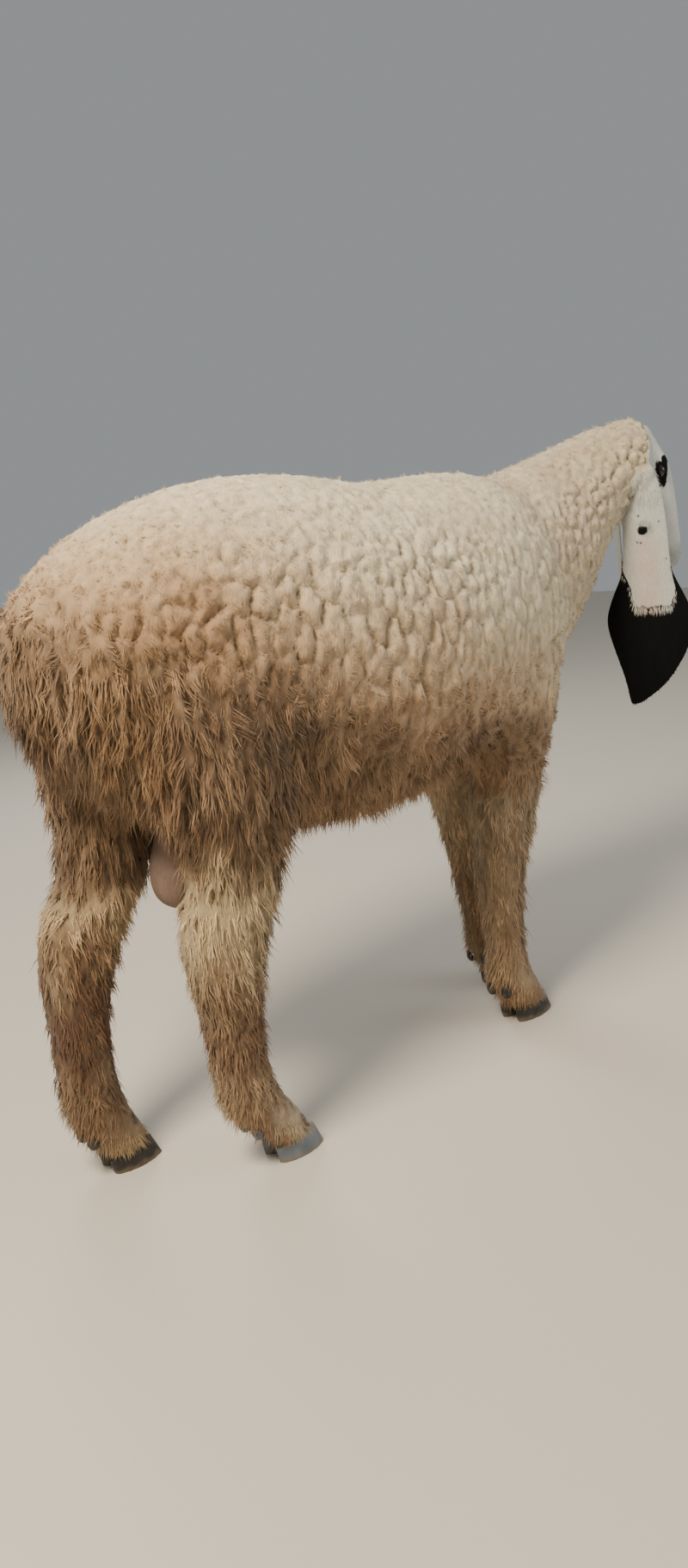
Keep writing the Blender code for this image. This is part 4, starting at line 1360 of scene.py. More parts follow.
def ear_tint(points, item, lower=0.0):
    """White down to a ragged hem, which lies lower for hair, then black, with dark spots on the white."""
    look = look_of("head")
    dark_hair = rgb(look.black)
    share, across = ear_place(points, item)
    thin = 0.55 * ramp(share, 0.20, 0.36) * ramp(np.abs(across), 0.034, 0.008)
    thin = thin + 0.15 * swell(points, 0.02, 73)
    # Painted shade: the ears' white and pink are darkened, to 0.76 and 0.80.
    tint = mix(rgb(look.white) * 0.76, rgb(look.pink) * 0.80, np.clip(thin, 0, 0.6))
    if item == "ear_right":
        x = (share - SPOT_AT[0]) * ear(item).length
        y = across - SPOT_AT[1]
        speck = ramp(swell(points, 0.0030, 74), 0.1, 0.45)
        halo = ramp(np.hypot(x + 0.003, y - 0.005), 0.0175, 0.009)
        tint = mix(tint, linear("#7B827F"), halo * (0.45 + 0.5 * speck))
        tint = mix(tint, dark_hair, ramp(np.hypot(x, y) + 0.0015 * swell(points, 0.004, 75), 0.0092, 0.0072))
        for along, side, size in RIGHT_SPECKS:
            tint = mix(tint, dark_hair, ramp(np.hypot(x - along, y - side), size, size * 0.5) * 0.85)
    else:
        for along, side, size in LEFT_SPOTS:
            away = np.hypot(share * ear(item).length - along, across - side)
            away = away + 0.0012 * swell(points, 0.004, 76)
            tint = mix(tint, dark_hair, ramp(away, size, size * 0.6) * 0.9)
    ragged = 0.010 * swell(points, 0.0035, 71, 0.15) + 0.004 * swell(points, 0.012, 72)
    dark = ramp(past_hem(points, item) + ragged - lower, -0.006, 0.006)
    return mix(tint, dark_hair * (1 + 0.35 * swell(points, 0.006, 77, 0.2))[:, None], dark)


def head_tint(points):
    """The white face with a black patch over each eye, dark nostrils, and a chin greyed with painted shade.
    """
    look = look_of("head")
    dark_hair = rgb(look.black)
    left = mirrored(to_head(points))
    shade = 0.5 + 0.5 * swell(points, 0.03, 81)
    tint = mix(rgb(look.white), linear("#D5D2C8"), np.clip(shade * 0.5, 0, 1))
    grizzle = 0.0016 * swell(points, 0.003, 82)
    slant = 0.10 * (left[:, 0] - 0.077)
    body = np.hypot((left[:, 0] - 0.080) / 0.0235, (left[:, 2] - 0.0185 + slant) / 0.0125)
    patch = ramp((body - 1) * 0.010 + grizzle, 0.0010, -0.0010) * (left[:, 1] > 0.02)
    hook = from_path(left[:, [0, 2]], PATCH_HOOK)
    reach = course(left[:, 1], ((0.022, 0.0), (0.034, 0.0045), (0.045, 0.0075)))
    patch = np.maximum(patch, ramp(hook + grizzle - reach, 0.0010, -0.0010) * (left[:, 1] > 0.022))
    tint = mix(tint, dark_hair, patch)
    nose = bump(left, (0.250, 0.0, -0.004), (0.016, 0.022, 0.014))
    tint = mix(tint, linear("#9C8A84"), np.clip(nose * 1.2, 0, 0.75))
    nostril = from_path(left, NOSTRIL)
    tint = mix(tint, rgb(look.nose), ramp(nostril, 0.0062, 0.0040) * 0.8)
    tint = mix(tint, dark_hair, ramp(nostril, 0.0040, 0.0024))
    # Painted shade: the chin and the front of the muzzle are greyed.
    chin = bump(left, (0.226, 0.0, -0.040), (0.034, 0.05, 0.016)) + 0.5 * ramp(left[:, 0], 0.200, 0.225)
    tint = mix(tint, rgb(look.chin), np.clip(chin * 1.3, 0, 0.8))
    tint = mix(tint, rgb(look.nose), ramp(from_path(left, MOUTH), 0.0030, 0.0012) * 0.75)
    return mix(tint, linear("#0E0D0D"), ramp(lid_place(left)[0], 1.25, 1.08) * (left[:, 1] > 0.03))


def foot_tint(points):
    """Pale, dirty hair of the pasterns."""
    height = points[:, 2] + 0.015 * swell(points, 0.02, 95)
    tint = mix(linear("#B08F68"), linear("#D5C9B4"), ramp(height, 0.115, 0.06))
    hind_left = (points[:, 0] < -0.3) & (points[:, 1] > 0)
    tint[hind_left] = mix(tint[hind_left], linear("#9A7A58"), 0.5)
    return tint


# ---- The skin ----
HEAD_GRAIN = 0.0032
LID_COVER = 0.0046        # of skin over the eyeballs, before the lids are parted
HIDE_DEPTH = 0.0025       # of the skin below the joined outline of the face
NECK_REACH = 0.085        # of the head's own skin behind the wool line, inside the neck's
# The skin's depth below the solids: by part, for legs by height, and on the poll by distance behind the
# wool line.
PART_DEPTH = (("trunk", 0.034), ("neck", 0.022), ("tail", 0.022), ("head", 0.018))
LEG_DEPTH = ((0.0, 0.005), (0.05, 0.006), (0.10, 0.010), (0.30, 0.015), (0.5, 0.022))
POLL_DEPTH = ((0.0, 0.008), (0.010, 0.015), (0.020, 0.019), (0.045, 0.025), (0.070, 0.034))
MUZZLE = (0.236, 0.0, -0.012)      # middle of nostrils and lips in the head's frame
SHORTEST_CUT = 0.0011     # edges below this length aren't cut where the markings change

# Whose skin it is at a point: the number of one of these groups of nodes.
BODY, FACE, LEFT_EAR, RIGHT_EAR, SCROTUM = range(5)
OWNERS = (("trunk", "neck", "tail") + LEG_NODES, ("head",), ("ear_left",), ("ear_right",), ("scrotum",))

Skin = namedtuple("Skin", "points faces normals owner tint")


def skin_owners(points):
    """Which group of nodes each point of the skin is nearest to."""
    found = np.full(len(points), FAR)
    owner = np.zeros(len(points), int)
    for i, nodes in enumerate(OWNERS):
        tree = face_tree(*joined([node_arrays(item) for item in nodes]))
        far = np.array([tree.find_nearest(spot)[3] for spot in points.tolist()])
        closer = far < found
        found, owner = np.where(closer, far, found), np.where(closer, i, owner)
    return owner


def markings(points, owner, plain):
    """The colours of face and ears, and a plain one on all other skin."""
    tint = np.tile(plain, (len(points), 1))
    tint[owner == FACE] = head_tint(points[owner == FACE])
    for i, item in zip((LEFT_EAR, RIGHT_EAR), EAR_NODES):
        tint[owner == i] = ear_tint(points[owner == i], item)
    return tint


def refined(mesh, centres, reach, rounds):
    """Cuts the mesh's edges in half near the centres, so often."""
    with edited(mesh) as form:
        for _ in range(rounds):
            close = from_nearest(np.array([vert.co[:] for vert in form.verts]), centres) < reach
            edges = [edge for edge in form.edges if close[edge.verts[0].index] and close[edge.verts[1].index]]
            bmesh.ops.subdivide_edges(form, edges=edges, cuts=1, use_grid_fill=True)
            form.verts.index_update()
        bmesh.ops.triangulate(form, faces=form.faces)


def sharpened(mesh, rounds=2, contrast=0.12):
    """Cuts edges where the markings change along them, so that they show crisply."""
    white = rgb(look_of("head").white)
    with edited(mesh) as form:
        for _ in range(rounds):
            points = np.array([vert.co[:] for vert in form.verts])
            tint = markings(points, skin_owners(points), white)
            edges = [edge for edge in form.edges
                     if abs(tint[edge.verts[0].index] - tint[edge.verts[1].index]).max() > contrast
                     and edge.calc_length() > SHORTEST_CUT]
            bmesh.ops.subdivide_edges(form, edges=edges, cuts=1)
            bmesh.ops.triangulate(form, faces=[face for face in form.faces if len(face.verts) > 3])
            form.verts.index_update()


def body_form():
    """The skin of trunk, neck and legs, inside the solids by the depth of the wool."""
    form = outer_form(SKIN_GRAIN, 3)
    shares = form.shares
    depth = sum(deep * shares[part] for part, deep in PART_DEPTH)
    depth = depth + (shares["front"] + shares["hind"]) * course(form.points[:, 2], LEG_DEPTH)
    depth = relaxed(depth, form.edges, 6)
    points = form.points - form.normals * depth[:, None]
    return relaxed(points, form.edges, 5), form.faces


def head_form():
    """The skin of head and poll: at the short hair's depth on the face, and ever deeper below the wool."""
    parts = [node_arrays(item, JOIN_LIFT) for item in ("head", "neck")]
    parts += [node_arrays(item, LID_COVER) for item in EYE_NODES]
    parts += [ear_base(item) for item in EAR_NODES]
    points, faces = remeshed(*joined(parts), HEAD_GRAIN)
    edges = edges_of(faces)
    points = rounded(points, edges, 3, 2, -0.4)
    deep = course((WOOL_LINE_POINT - to_head(points)) @ WOOL_LINE_NORMAL, POLL_DEPTH)
    depth = mix(deep, HIDE_DEPTH, np.maximum(face_share(points), ear_root_share(points)))
    points = points - normals_of(points, faces) * relaxed(depth, edges, 8)[:, None]
    points, faces = remeshed(points, faces, HEAD_GRAIN)
    points = rounded(points, edges_of(faces), 2, 2, -0.45)
    mesh = new_mesh("head_part", points, faces)
    ahead = HEAD.to_3x3() @ Vector(WOOL_LINE_NORMAL)
    cut = HEAD @ Vector(WOOL_LINE_POINT - WOOL_LINE_NORMAL * NECK_REACH)
    with edited(mesh) as form:
        bmesh.ops.bisect_plane(form, geom=form.verts[:] + form.edges[:] + form.faces[:], plane_co=cut,
                               plane_no=-ahead, clear_outer=True)
        bmesh.ops.holes_fill(form, edges=[edge for edge in form.edges if edge.is_boundary], sides=0)
    return mesh


def scrotum_form():
    """The skin of the scrotum."""
    points, faces = remeshed(*node_arrays("scrotum", -0.0004), 0.005)
    return relaxed(points, edges_of(faces), 3), faces


def united():
    """One closed mesh of body, head, ears and scrotum."""
    body = show("skin", new_mesh("skin", *body_form()))
    others = [show("head_part", head_form()), show("scrotum_part", new_mesh("scrotum_part", *scrotum_form()))]
    others += [ear_part(item) for item in EAR_NODES]
    for i, other in enumerate(others):
        union = body.modifiers.new(f"union {i}", "BOOLEAN")
        union.operation = "UNION"
        union.solver = "EXACT"
        union.object = other
    mesh = result(body)
    for obj in [body] + others:
        bpy.data.objects.remove(obj)
    return mesh


@lru_cache(maxsize=None)
def skin():
    """The one skin with the head's features, and its colours."""
    mesh = united()
    eyes = [middle(item) for item in EYE_NODES]
    refined(mesh, eyes, 0.027, 2)
    refined(mesh, [tuple(HEAD @ Vector(MUZZLE))], 0.046, 1)
    sharpened(mesh)
    points, faces = as_arrays(mesh, 3)
    owner = skin_owners(points)
    edges = edges_of(faces)
    ears = relaxed(((owner == LEFT_EAR) | (owner == RIGHT_EAR)).astype(float), edges, 3)
    rest = relaxed(((owner == BODY) | (owner == SCROTUM)).astype(float), edges, 3)
    points = sculpted(points, normals_of(points, faces), np.clip(ears + rest, 0, 1))
    points = relaxed(points, edges, 1, 0.3, hold=np.where(from_nearest(points, eyes) < 0.024, 0.5, 1.0))
    tint = markings(points, owner, SKIN_TONE)
    face = owner == FACE
    tint[face] = mix(rgb(look_of("fleece").cream) * 0.8, tint[face], face_share(points[face]))
    tint[owner == SCROTUM] = SCROTUM_TONE * (1 + 0.12 * swell(points[owner == SCROTUM], 0.012, 91))[:, None]
    foot = (owner == BODY) & (points[:, 2] < 0.16)
    tint[foot] = foot_tint(points[foot])
    return Skin(points, faces, normals_of(points, faces), owner, tint)


def make_skin():
    """One skin over all of the animal's flesh."""
    made = skin()
    mesh = new_mesh("skin", made.points, made.faces)
    paint(mesh, made.tint)
    mesh.shade_smooth()
    finished("skin", mesh, hide_material(), FLESH_NODES)


# ---- Short hair of the face and ears ----
EAR_MUSCLE_HAIR = 260000.0         # more hairs to the square metre round the ears' roots
HEM_HAIR = 500000.0                # and at the hem of their white parts

Fur = namedtuple("Fur", "aim rise length tint tube")


def face_fur(roots, fluff):
    """How the face's hair grows: back from the nose, and down over the roots of the ears."""
    look = look_of("head")
    lid = lid_place(mirrored(to_head(roots.points)))[0]
    length = look.face_hair * mix(0.45, 1.0, ramp(lid, 1.3, 2.6))
    aim = mix(DOWN * 0.15 - HEAD_TURN[:, 0], DOWN, fluff)
    return Fur(aim, 0.16 + 0.16 * fluff, length, head_tint(roots.points), "head")


def ear_fur(roots, fluff, item):
    """How an ear's hair grows: towards its tip, and longer at the hem, where white hangs over the black."""
    look = look_of("head")
    own = ear(item)
    _, across = ear_place(roots.points, item)
    aim = own.down + np.sign(across)[:, None] * own.across * 0.10
    past = past_hem(roots.points, item)
    length = look.ear_hair + look.fringe * ramp(past, -0.060, -0.015) * ramp(past, 0.010, 0.004)
    rise = 0.16 + 0.16 * fluff + 0.20 * ramp(past, -0.030, -0.006) * ramp(past, 0.014, 0.008)
    return Fur(aim, rise, length, ear_tint(roots.points, item, 0.009), item)


def make_hair():
    """Short hair of the face and of the ears."""
    made = skin()
    quads = np.column_stack([made.faces, made.faces[:, 2]])
    owner = made.owner[made.faces[:, 0]]
    centre = made.points[made.faces].mean(axis=1)
    left = mirrored(to_head(centre))
    near_ear = ear_root_share(centre)
    hairy = (face_share(centre) > 0.3) | (near_ear > 0.2)
    wet = (from_path(left, NOSTRIL) < 0.006) | (from_path(left, MOUTH) < 0.0025) | (lid_place(left)[0] < 1.3)
    for i, (name, chosen, slot, item, density) in enumerate((
        ("face_hair", (owner == FACE) & hairy & ~wet, "face_hair", None, 150000.0),
        ("ear_hair_left", owner == LEFT_EAR, "ear_hair", "ear_left", 60000.0),
        ("ear_hair_right", owner == RIGHT_EAR, "ear_hair", "ear_right", 60000.0),
    )):
        density = density + EAR_MUSCLE_HAIR * near_ear[chosen]
        if item:
            past = past_hem(centre[chosen], item)
            density = density + HEM_HAIR * ramp(past, -0.045, -0.020) * ramp(past, 0.009, 0.003)
        roots = Roots(made.points, quads[chosen], made.normals, density, 400 + i)
        count = roots.count
        rng = np.random.default_rng(420 + i)
        scatter = unit(rng.normal(size=(count, 3)))
        fluff = ear_root_share(roots.points)
        fur = ear_fur(roots, fluff, item) if item else face_fur(roots, fluff)
        flat = unit(fur.aim - roots.normals * dots(fur.aim, roots.normals)[:, None])
        aim = unit(flat + roots.normals * fur.rise[:, None] + scatter * (0.16 + 0.06 * fluff)[:, None])
        length = (fur.length + 0.009 * fluff) * rng.uniform(0.7, 1.25, count)
        width = (0.00050 - 0.00006 * fluff) * rng.uniform(0.8, 1.3, count)
        tint = fur.tint * (1 + uneven(rng, count, 0.10))[:, None]
        spots, _ = unwrap(roots.points, np.full(count, TUBE_NAMES.index(fur.tube)))
        root_tint, tip_tint = np.clip(tint, 0, 0.95), np.clip(tint * 1.04, 0, 0.95)
        coat = tufts(roots, aim, length, width, root_tint, tip_tint, spots, 2, 0.25, 0.05, 440 + i)
        finished(name, coat_mesh(name, coat), hair_material(), ())


# ---- Eyelashes and bristles, set along paths by Geometry Nodes ----
HAIR_SIDES = 5            # of a hair's cone, which has one more point at its tip
STRAY = 0.22              # how far a hair's way strays from the path's
# The lower lip from its middle to the corner of the mouth, and its upper and lower row of bristles.
LIP = np.array(((0.243, 0.012, -0.022), (0.234, 0.0245, -0.022), (0.216, 0.030, -0.026),
                (0.198, 0.034, -0.030)))
BRISTLE_ROWS = (0.016, -0.010)
BRISTLE_WAY = np.array((0.55, 0.0, -0.15))


def bristle_tree(material):
    """The tree that sets fine tapering hairs of uneven length along a path, turned by the path's ways."""
    tree = bpy.data.node_groups.new("hairs_along_path", "GeometryNodeTree")
    face = tree.interface
    face.new_socket("Path", in_out="INPUT", socket_type="NodeSocketGeometry")
    for name, kind, default in (
        ("Count", "NodeSocketInt", 30), ("Length", "NodeSocketFloat", 0.008),
        ("Thickness", "NodeSocketFloat", 0.0002), ("Unevenness", "NodeSocketFloat", 0.3),
        ("Seed", "NodeSocketInt", 7),
    ):
        face.new_socket(name, in_out="INPUT", socket_type=kind).default_value = default
    face.new_socket("Hairs", in_out="OUTPUT", socket_type="NodeSocketGeometry")
    given = node(tree, "NodeGroupInput").outputs
    curve = node(tree, "GeometryNodeMeshToCurve", {"Mesh": given["Path"]})
    spots = node(tree, "GeometryNodeResampleCurve", {"Curve": curve.outputs[0], "Count": given["Count"]},
                 mode="COUNT")
    hair = node(tree, "GeometryNodeMeshCone", {"Radius Bottom": given["Thickness"], "Depth": given["Length"]},
                Vertices=HAIR_SIDES, fill_type="NGON")
    way = node(tree, "GeometryNodeInputNamedAttribute", data_type="FLOAT_VECTOR", Name="way")
    stray = node(tree, "FunctionNodeRandomValue", {"Seed": given["Seed"]}, data_type="FLOAT_VECTOR")
    stray.inputs[0].default_value = (-STRAY, -STRAY, -STRAY)
    stray.inputs[1].default_value = (STRAY, STRAY, STRAY)
    bent = node(tree, "ShaderNodeVectorMath", {0: way.outputs[0], 1: stray.outputs[0]}, operation="ADD")
    turn = node(tree, "FunctionNodeAlignRotationToVector", {"Vector": bent.outputs[0]}, axis="Z")
    least = node(tree, "ShaderNodeMath", {1: given["Unevenness"]}, operation="SUBTRACT")
    least.inputs[0].default_value = 1.0
    size = node(tree, "FunctionNodeRandomValue", {2: least.outputs[0], "Seed": given["Seed"]},
                data_type="FLOAT")
    size.inputs[3].default_value = 1.0
    placed = node(tree, "GeometryNodeInstanceOnPoints", {
        "Points": spots.outputs[0], "Instance": hair.outputs[0], "Rotation": turn.outputs[0],
        "Scale": size.outputs[1]})
    real = node(tree, "GeometryNodeRealizeInstances", {0: placed.outputs[0]})
    coated = node(tree, "GeometryNodeSetMaterial", {"Geometry": real.outputs[0]}, Material=material)
    node(tree, "NodeGroupOutput", {"Hairs": coated.outputs[0]})
    return tree


def hairs_along(name, tree, paths, settings):
    """One mesh of fine hairs along each of the paths, (points, ways) pairs in the model's frame."""
    edges, start = [], 0
    for path, _ in paths:
        edges += [(start + k, start + k + 1) for k in range(len(path) - 1)]
        start += len(path)
    mesh = bpy.data.meshes.new(name + "_path")
    mesh.from_pydata(np.concatenate([path for path, _ in paths]).tolist(), edges, [])
    layer = mesh.attributes.new("way", "FLOAT_VECTOR", "POINT")
    ways = unit(np.concatenate([way for _, way in paths]))
    layer.data.foreach_set("vector", ways.reshape(-1).astype(np.float32))
    holder = show(name + "_path", mesh)
    grow = holder.modifiers.new("hairs", "NODES")
    grow.node_group = tree
    for item in tree.interface.items_tree:
        if item.name in settings:
            grow[item.identifier] = settings[item.name]
    made = result(holder)
    made.name = name
    bpy.data.objects.remove(holder)
    return made


def on_skin(tree, spots):
    """The nearest points of the skin to places in the head's frame, and the skin's outward ways there."""
    found = [tree.find_nearest(spot) for spot in to_model(spots).tolist()]
    return np.array([hit[0][:] for hit in found]), np.array([hit[1][:] for hit in found])


def lash_path(surface, flip):
    """Where the lashes of one upper lid are rooted, and their ways."""
    look = look_of("head")
    out, along, high = eye_axes()
    share = np.linspace(-0.85, 0.85, 24)
    lid = EYE_SPOT + out * 0.012 + along * (share * look.lid_length)[:, None]
    lid = lid + high * (np.sqrt(1 - 0.75 * share ** 2) * look.lid_height * 1.12)[:, None]
    spots, facing = on_skin(surface, lid * flip)
    way = (out * 0.85 + high * 0.45 + along * share[:, None] * 0.35) * flip @ HEAD_TURN.T
    return spots - facing * 0.0005, way


def bristle_path(surface, flip, lift):
    """Where one row of the lip's bristles is rooted, and their ways."""
    spots, facing = on_skin(surface, (LIP + np.array((0.0, 0.0, lift))) * flip)
    return spots - facing * 0.0008, facing + HEAD_TURN @ BRISTLE_WAY


def make_lashes():
    """Dark lashes on the upper lids and pale bristles round the mouth."""
    made = skin()
    look = look_of("head")
    surface = face_tree(made.points, made.faces)
    tree = bristle_tree(hair_material())
    sides = np.array((1, 1, 1)), np.array((1, -1, 1))
    lashes = [lash_path(surface, flip) for flip in sides]
    bristles = [bristle_path(surface, flip, lift) for flip in sides for lift in BRISTLE_ROWS]
    for name, paths, tone, settings in (
        ("eyelashes", lashes, rgb(look.black),
         {"Count": 34, "Length": look.lash, "Thickness": 0.00022, "Seed": 5}),
        ("mouth_bristles", bristles, rgb(look.white) * 0.8,
         {"Count": 11, "Length": look.bristle, "Thickness": 0.00016, "Unevenness": 0.5, "Seed": 9}),
    ):
        mesh = hairs_along(name, tree, paths, settings)
        points = points_of(mesh)
        each = HAIR_SIDES + 1
        roots = np.repeat(points[::each], each, axis=0)[:len(points)]
        spots, _ = unwrap(roots, np.full(len(roots), TUBE_NAMES.index("head")))
        near = np.tile(np.linspace(-0.5, 0.5, each), len(points) // each + 1)[:len(points)]
        spots = spots + np.stack([near, -near], axis=1) * PATCH
        while mesh.uv_layers:
            mesh.uv_layers.remove(mesh.uv_layers[0])
        lay_out(mesh, spots[corners_of(mesh)])
        paint(mesh, tone)
        finished(name, mesh, None, ())


# ---- Hooves ----
HOOF_GRAIN = 0.0017
DEWCLAW_GRAIN = 0.0012
RING = 0.0030             # height of one ring of growth
SLANT = 0.28              # by which the rings fall towards the heel


def horn(item):
    """The colour of a foot's horn."""
    _, end, hand, _ = item.split("_")
    return rgb(getattr(look_of("hooves"), f"{end}_{hand}"))


def rounded_horn(item, voxel, sole_height):
    """A node's form rounded off except for the flat of its sole, and each point's share in that flat."""
    points, faces = remeshed(*node_arrays(item), voxel)
    edges = edges_of(faces)
    sole = ramp(points[:, 2], sole_height, 0.0005) if sole_height else np.zeros(len(points))
    points = relaxed(points, edges, 8, 0.5, hold=sole)
    return relaxed(points, edges, 4, -0.3, hold=sole), faces, sole


def claw(item):
    """A hoof's claw, with rings of growth and a worn lower rim: points, faces and tint."""
    tone = horn(item)
    points, faces, sole = rounded_horn(item, HOOF_GRAIN, 0.004)
    normals = normals_of(points, faces)
    z = points[:, 2].copy()
    slant = z + SLANT * (points[:, 0] - middle(item)[0])
    ring = np.sin(slant / RING * 2 * math.pi + 2.0 * swell(points, 0.02, 51))
    wall = (1 - sole) * ramp(normals[:, 2], 0.7, 0.3)
    rise = 0.00035 * ring * wall + 0.0007 * swell(points, 0.006, 52, 0.3) * wall
    rise -= 0.0012 * ramp(z, 0.006, 0.0) * ramp(swell(points, 0.007, 53), 0.1, 0.6) * wall
    points = points + normals * rise[:, None]
    points[:, 2] = np.maximum(points[:, 2], 0.0)
    tint = mix(tone, tone * 1.9 + 0.01, np.clip(0.35 + 0.35 * ring + 0.5 * swell(points, 0.012, 54), 0, 1))
    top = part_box(item)[1][2]
    pale = linear("#8E8578" if "right" in item else "#4A4038")
    tint = mix(tint, pale, ramp(slant, top - 0.014, top - 0.003) * 0.7)
    dust = ramp(z + 0.004 * swell(points, 0.008, 55), 0.012, 0.0)
    return points, faces, mix(tint, rgb(look_of("hooves").dust), dust * 0.55)


def dewclaw(item):
    """A small claw behind the fetlock: points, faces and tint."""
    points, faces, _ = rounded_horn(item, DEWCLAW_GRAIN, None)
    pale = np.clip(0.3 + 0.5 * swell(points, 0.006, 56), 0, 1)
    return points, faces, mix(horn(item), linear("#5A5048"), pale)


def make_hooves():
    """The claws of each foot, and the dewclaws behind them."""
    for item in HOOF_NODES + DEWCLAW_NODES:
        points, faces, tint = claw(item) if item in HOOF_NODES else dewclaw(item)
        mesh = new_mesh(item + "_horn", points, faces)
        paint(mesh, tint)
        mesh.shade_smooth()
        finished(item + "_horn", mesh, horn_material(), (item,))


# ---- Eyes ----
IRIS_RIM = (0.0088, 0.0078)        # where the iris ends, and where it has its full colour
PUPIL = (0.0052, 0.0022)           # half the pupil's length and height


def make_eyes():
    """Each eye: a wet ball with a dark brown iris and the flat slot of a sheep's pupil."""
    turn_of_head = HEAD.to_3x3()
    for item, side in (("eye_left", 1), ("eye_right", -1)):
        mesh = bpy.data.meshes.new(item + "_ball")
        with edited(mesh) as form:
            bmesh.ops.create_uvsphere(form, u_segments=48, v_segments=32, radius=size_of(item).min() / 2)
        out = turn_of_head @ Vector(EYE_OUT * np.array((1, side, 1))).normalized()
        turn = out.to_track_quat("Z", "Y").to_matrix()
        along = turn.inverted() @ (turn_of_head @ Vector((1, 0, 0)))
        spin = math.atan2(along.y, along.x)
        points = points_of(mesh)
        x, y, z = points.T
        front = z > 0
        away = np.hypot(x, y) * np.where(front, 1, FAR)
        flat = x * math.cos(spin) + y * math.sin(spin)
        tall = -x * math.sin(spin) + y * math.cos(spin)
        pupil = ramp(np.maximum(np.abs(flat) / PUPIL[0], np.abs(tall) / PUPIL[1]), 1.1, 0.95) * front
        tint = mix(linear("#120D0A"), rgb(look_of("head").iris), ramp(away, *IRIS_RIM))
        tint = mix(tint, linear("#050505"), pupil)
        points[:, 2] += 0.0006 * ramp(away, 0.009, 0.004) * front      # bulge of the cornea
        points = points @ np.array(turn).T + middle(item)
        mesh.vertices.foreach_set("co", points.reshape(-1))
        mesh.update()
        paint(mesh, tint)
        mesh.shade_smooth()
        finished(item + "_ball", mesh, eye_material(), (item,))


# ---- The studio ----
FLOOR_REACH = 6.0
LAMPS_AIM = (0.0, 0.0, 0.5)
CAMERA_PLACE = (-1.2572, -1.3778, 0.87)
CAMERA_HEADING = math.atan2(0.616, 0.788)
CAMERA_DIP = math.radians(13)
CAMERA_ROLL = math.radians(8)


def make_floor(look):
    """The plain floor, which belongs to the stage."""
    corners = np.array([(-1, -1, 0), (1, -1, 0), (1, 1, 0), (-1, 1, 0)], float) * FLOOR_REACH
    mesh = new_mesh("floor", corners, np.array([(0, 1, 2, 3)]))
    # Painted plaster, matt.
    material, _ = new_material("painted_plaster_floor", Base_Color=(*look.floor, 1), Roughness=0.9)
    mesh.materials.append(material)
    show("floor", mesh)


def make_lights(look):
    """Soft light from all round and three round lamps."""
    world = bpy.data.worlds.new("soft_sky")
    world.use_nodes = True
    sky = world.node_tree.nodes["Background"]
    sky.inputs["Color"].default_value = (*look.sky, 1)
    sky.inputs["Strength"].default_value = look.sky_strength
    bpy.context.scene.world = world
    for name, place, size, power, tone in (
        ("key_light", (-2.0, -0.8, 2.9), 1.1, look.key_power, "#FFEFD6"),
        ("fill_light", (1.8, -2.8, 1.8), 2.2, look.fill_power, "#EEF3F8"),
        ("rim_light", (0.6, 2.8, 2.6), 1.6, look.rim_power, "#FFF8EE"),
    ):
        data = bpy.data.lights.new(name, "AREA")
        data.shape = "DISK"
        data.size = size
        data.energy = power
        data.color = tuple(linear(tone))
        lamp = show(name, data)
        lamp.location = place
        lamp.rotation_euler = (Vector(LAMPS_AIM) - Vector(place)).to_track_quat("-Z", "Y").to_euler()


def make_camera(look):
    """The camera, turned by its heading, dip and roll."""
    data = bpy.data.cameras.new("camera")
    data.sensor_width = 36
    data.lens = look.lens
    upright = Vector((0, 0, 1))
    ahead = Vector((math.sin(CAMERA_HEADING), math.cos(CAMERA_HEADING), 0))
    right = Vector((math.cos(CAMERA_HEADING), -math.sin(CAMERA_HEADING), 0))
    up = ahead * math.sin(CAMERA_DIP) + upright * math.cos(CAMERA_DIP)
    view = ahead * math.cos(CAMERA_DIP) - upright * math.sin(CAMERA_DIP)
    turn = Matrix((right * math.cos(CAMERA_ROLL) - up * math.sin(CAMERA_ROLL),
                   right * math.sin(CAMERA_ROLL) + up * math.cos(CAMERA_ROLL), -view)).transposed()
    camera = show("camera", data)
    camera.matrix_world = Matrix.Translation(CAMERA_PLACE) @ turn.to_4x4()
    bpy.context.scene.camera = camera


def make_stage():
    """A plain pale floor, soft light and the camera."""
    look = look_of("studio")
    make_floor(look)
    make_lights(look)
    make_camera(look)


# ---- The add-on ----
def forget():
    """Drops what is kept from an earlier run, so that changed settings count."""
    for kept in (bed, locks, skin):
        kept.cache_clear()


class RAM_OT_stage(bpy.types.Operator):
    """Lay the floor and set the light and the camera"""

    bl_idname = "ram.stage"
    bl_label = "Studio"

    def execute(self, context):
        make_stage()
        return {"FINISHED"}


class RAM_OT_fleece_bed(bpy.types.Operator):
    """Make the felted mass of the fleece, with its puffs and cracks"""

    bl_idname = "ram.fleece_bed"
    bl_label = "Fleece bed"

    def execute(self, context):
        forget()
        make_bed()
        return {"FINISHED"}


class RAM_OT_locks(bpy.types.Operator):
    """Make the locks that stand or hang on the fleece"""

    bl_idname = "ram.locks"
    bl_label = "Locks"

    def execute(self, context):
        make_locks()
        return {"FINISHED"}


class RAM_OT_foot_hair(bpy.types.Operator):
    """Make the hair over the hooves and behind the fetlocks"""

    bl_idname = "ram.foot_hair"
    bl_label = "Foot hair"

    def execute(self, context):
        make_foot_hair()
        return {"FINISHED"}


class RAM_OT_skin(bpy.types.Operator):
    """Make the one skin over body, head, ears and legs"""

    bl_idname = "ram.skin"
    bl_label = "Skin"

    def execute(self, context):
        make_skin()
        return {"FINISHED"}


class RAM_OT_hair(bpy.types.Operator):
    """Make the short hair of face and ears"""

    bl_idname = "ram.hair"
    bl_label = "Face and ear hair"

    def execute(self, context):
        make_hair()
        return {"FINISHED"}


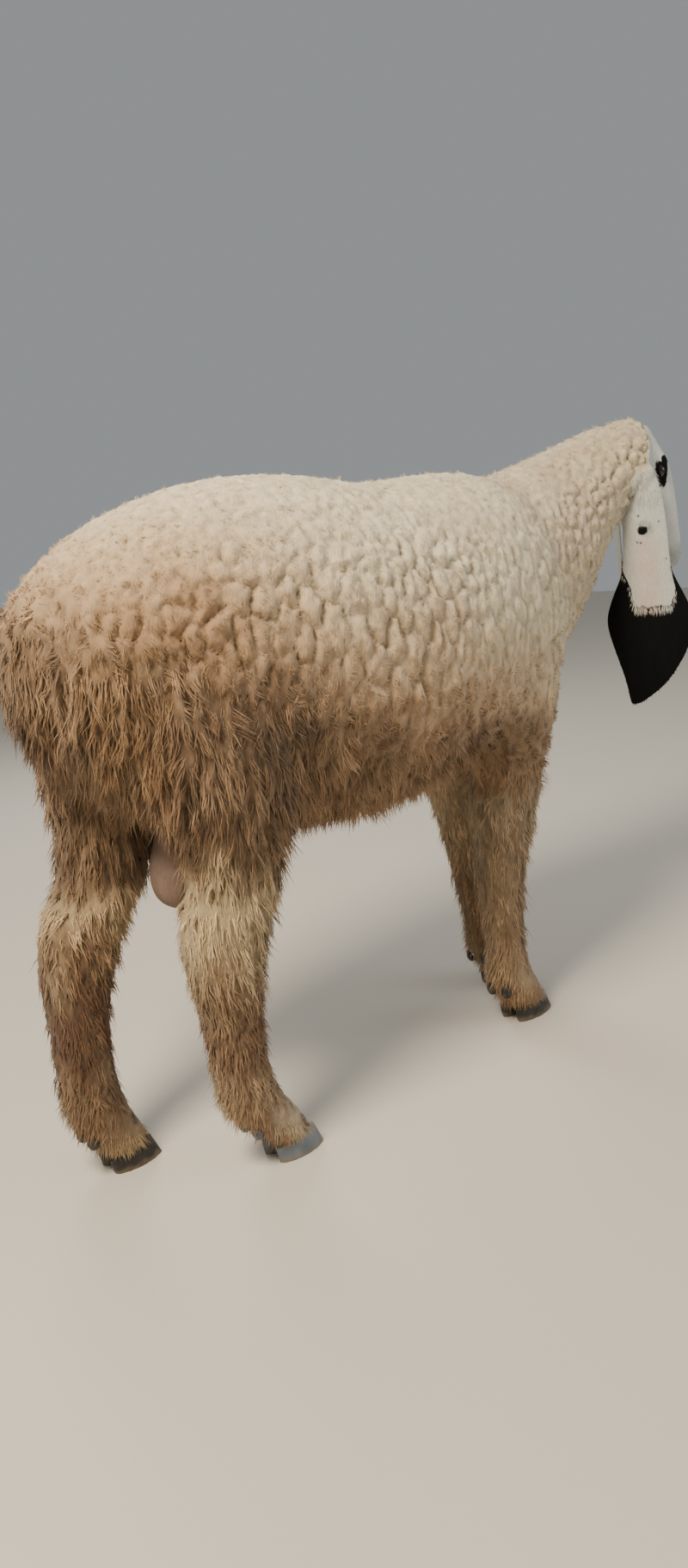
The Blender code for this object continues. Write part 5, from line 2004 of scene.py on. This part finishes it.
class RAM_OT_lashes(bpy.types.Operator):
    """Make the eyelashes and the bristles round the mouth"""

    bl_idname = "ram.lashes"
    bl_label = "Lashes and bristles"

    def execute(self, context):
        make_lashes()
        return {"FINISHED"}


class RAM_OT_eyes(bpy.types.Operator):
    """Make the eyes"""

    bl_idname = "ram.eyes"
    bl_label = "Eyes"

    def execute(self, context):
        make_eyes()
        return {"FINISHED"}


class RAM_OT_hooves(bpy.types.Operator):
    """Make the hooves and the dewclaws"""

    bl_idname = "ram.hooves"
    bl_label = "Hooves"

    def execute(self, context):
        make_hooves()
        return {"FINISHED"}


GROUPS = (
    ("ram_fleece", "Fleece", FleeceSettings),
    ("ram_head", "Head", HeadSettings),
    ("ram_hooves", "Hooves", HoofSettings),
    ("ram_studio", "Studio", StudioSettings),
)
OPERATORS = (RAM_OT_stage, RAM_OT_fleece_bed, RAM_OT_locks, RAM_OT_foot_hair, RAM_OT_skin, RAM_OT_hair,
             RAM_OT_lashes, RAM_OT_eyes, RAM_OT_hooves)


class RAM_PT_sidebar(bpy.types.Panel):
    """Settings of the ram and the steps that make it"""

    bl_label = "Standing ram"
    bl_space_type = "VIEW_3D"
    bl_region_type = "UI"
    bl_category = "Ram"

    def draw(self, context):
        for held, title, group in GROUPS:
            box = self.layout.box()
            box.label(text=title)
            for name in group.__annotations__:
                box.prop(getattr(context.scene, held), name)
        for operator in OPERATORS:
            self.layout.operator(operator.bl_idname)


CLASSES = tuple(group for _, _, group in GROUPS) + OPERATORS + (RAM_PT_sidebar,)


def register():
    """Adds the settings, the steps and the panel."""
    for item in CLASSES:
        bpy.utils.register_class(item)
    for held, _, group in GROUPS:
        setattr(bpy.types.Scene, held, bpy.props.PointerProperty(type=group))


def unregister():
    """Takes them out again."""
    for held, _, _ in GROUPS:
        delattr(bpy.types.Scene, held)
    for item in reversed(CLASSES):
        bpy.utils.unregister_class(item)


def plain(bounds):
    """A box as lists of numbers."""
    return [[float(value) for value in corner] for corner in bounds]


def main():
    """Makes the whole ram."""
    register()
    bpy.ops.ram.stage()
    bpy.ops.ram.fleece_bed()
    bpy.ops.ram.locks()
    bpy.ops.ram.foot_hair()
    bpy.ops.ram.skin()
    bpy.ops.ram.hair()
    bpy.ops.ram.lashes()
    bpy.ops.ram.eyes()
    bpy.ops.ram.hooves()


if __name__ == "__main__":
    main()
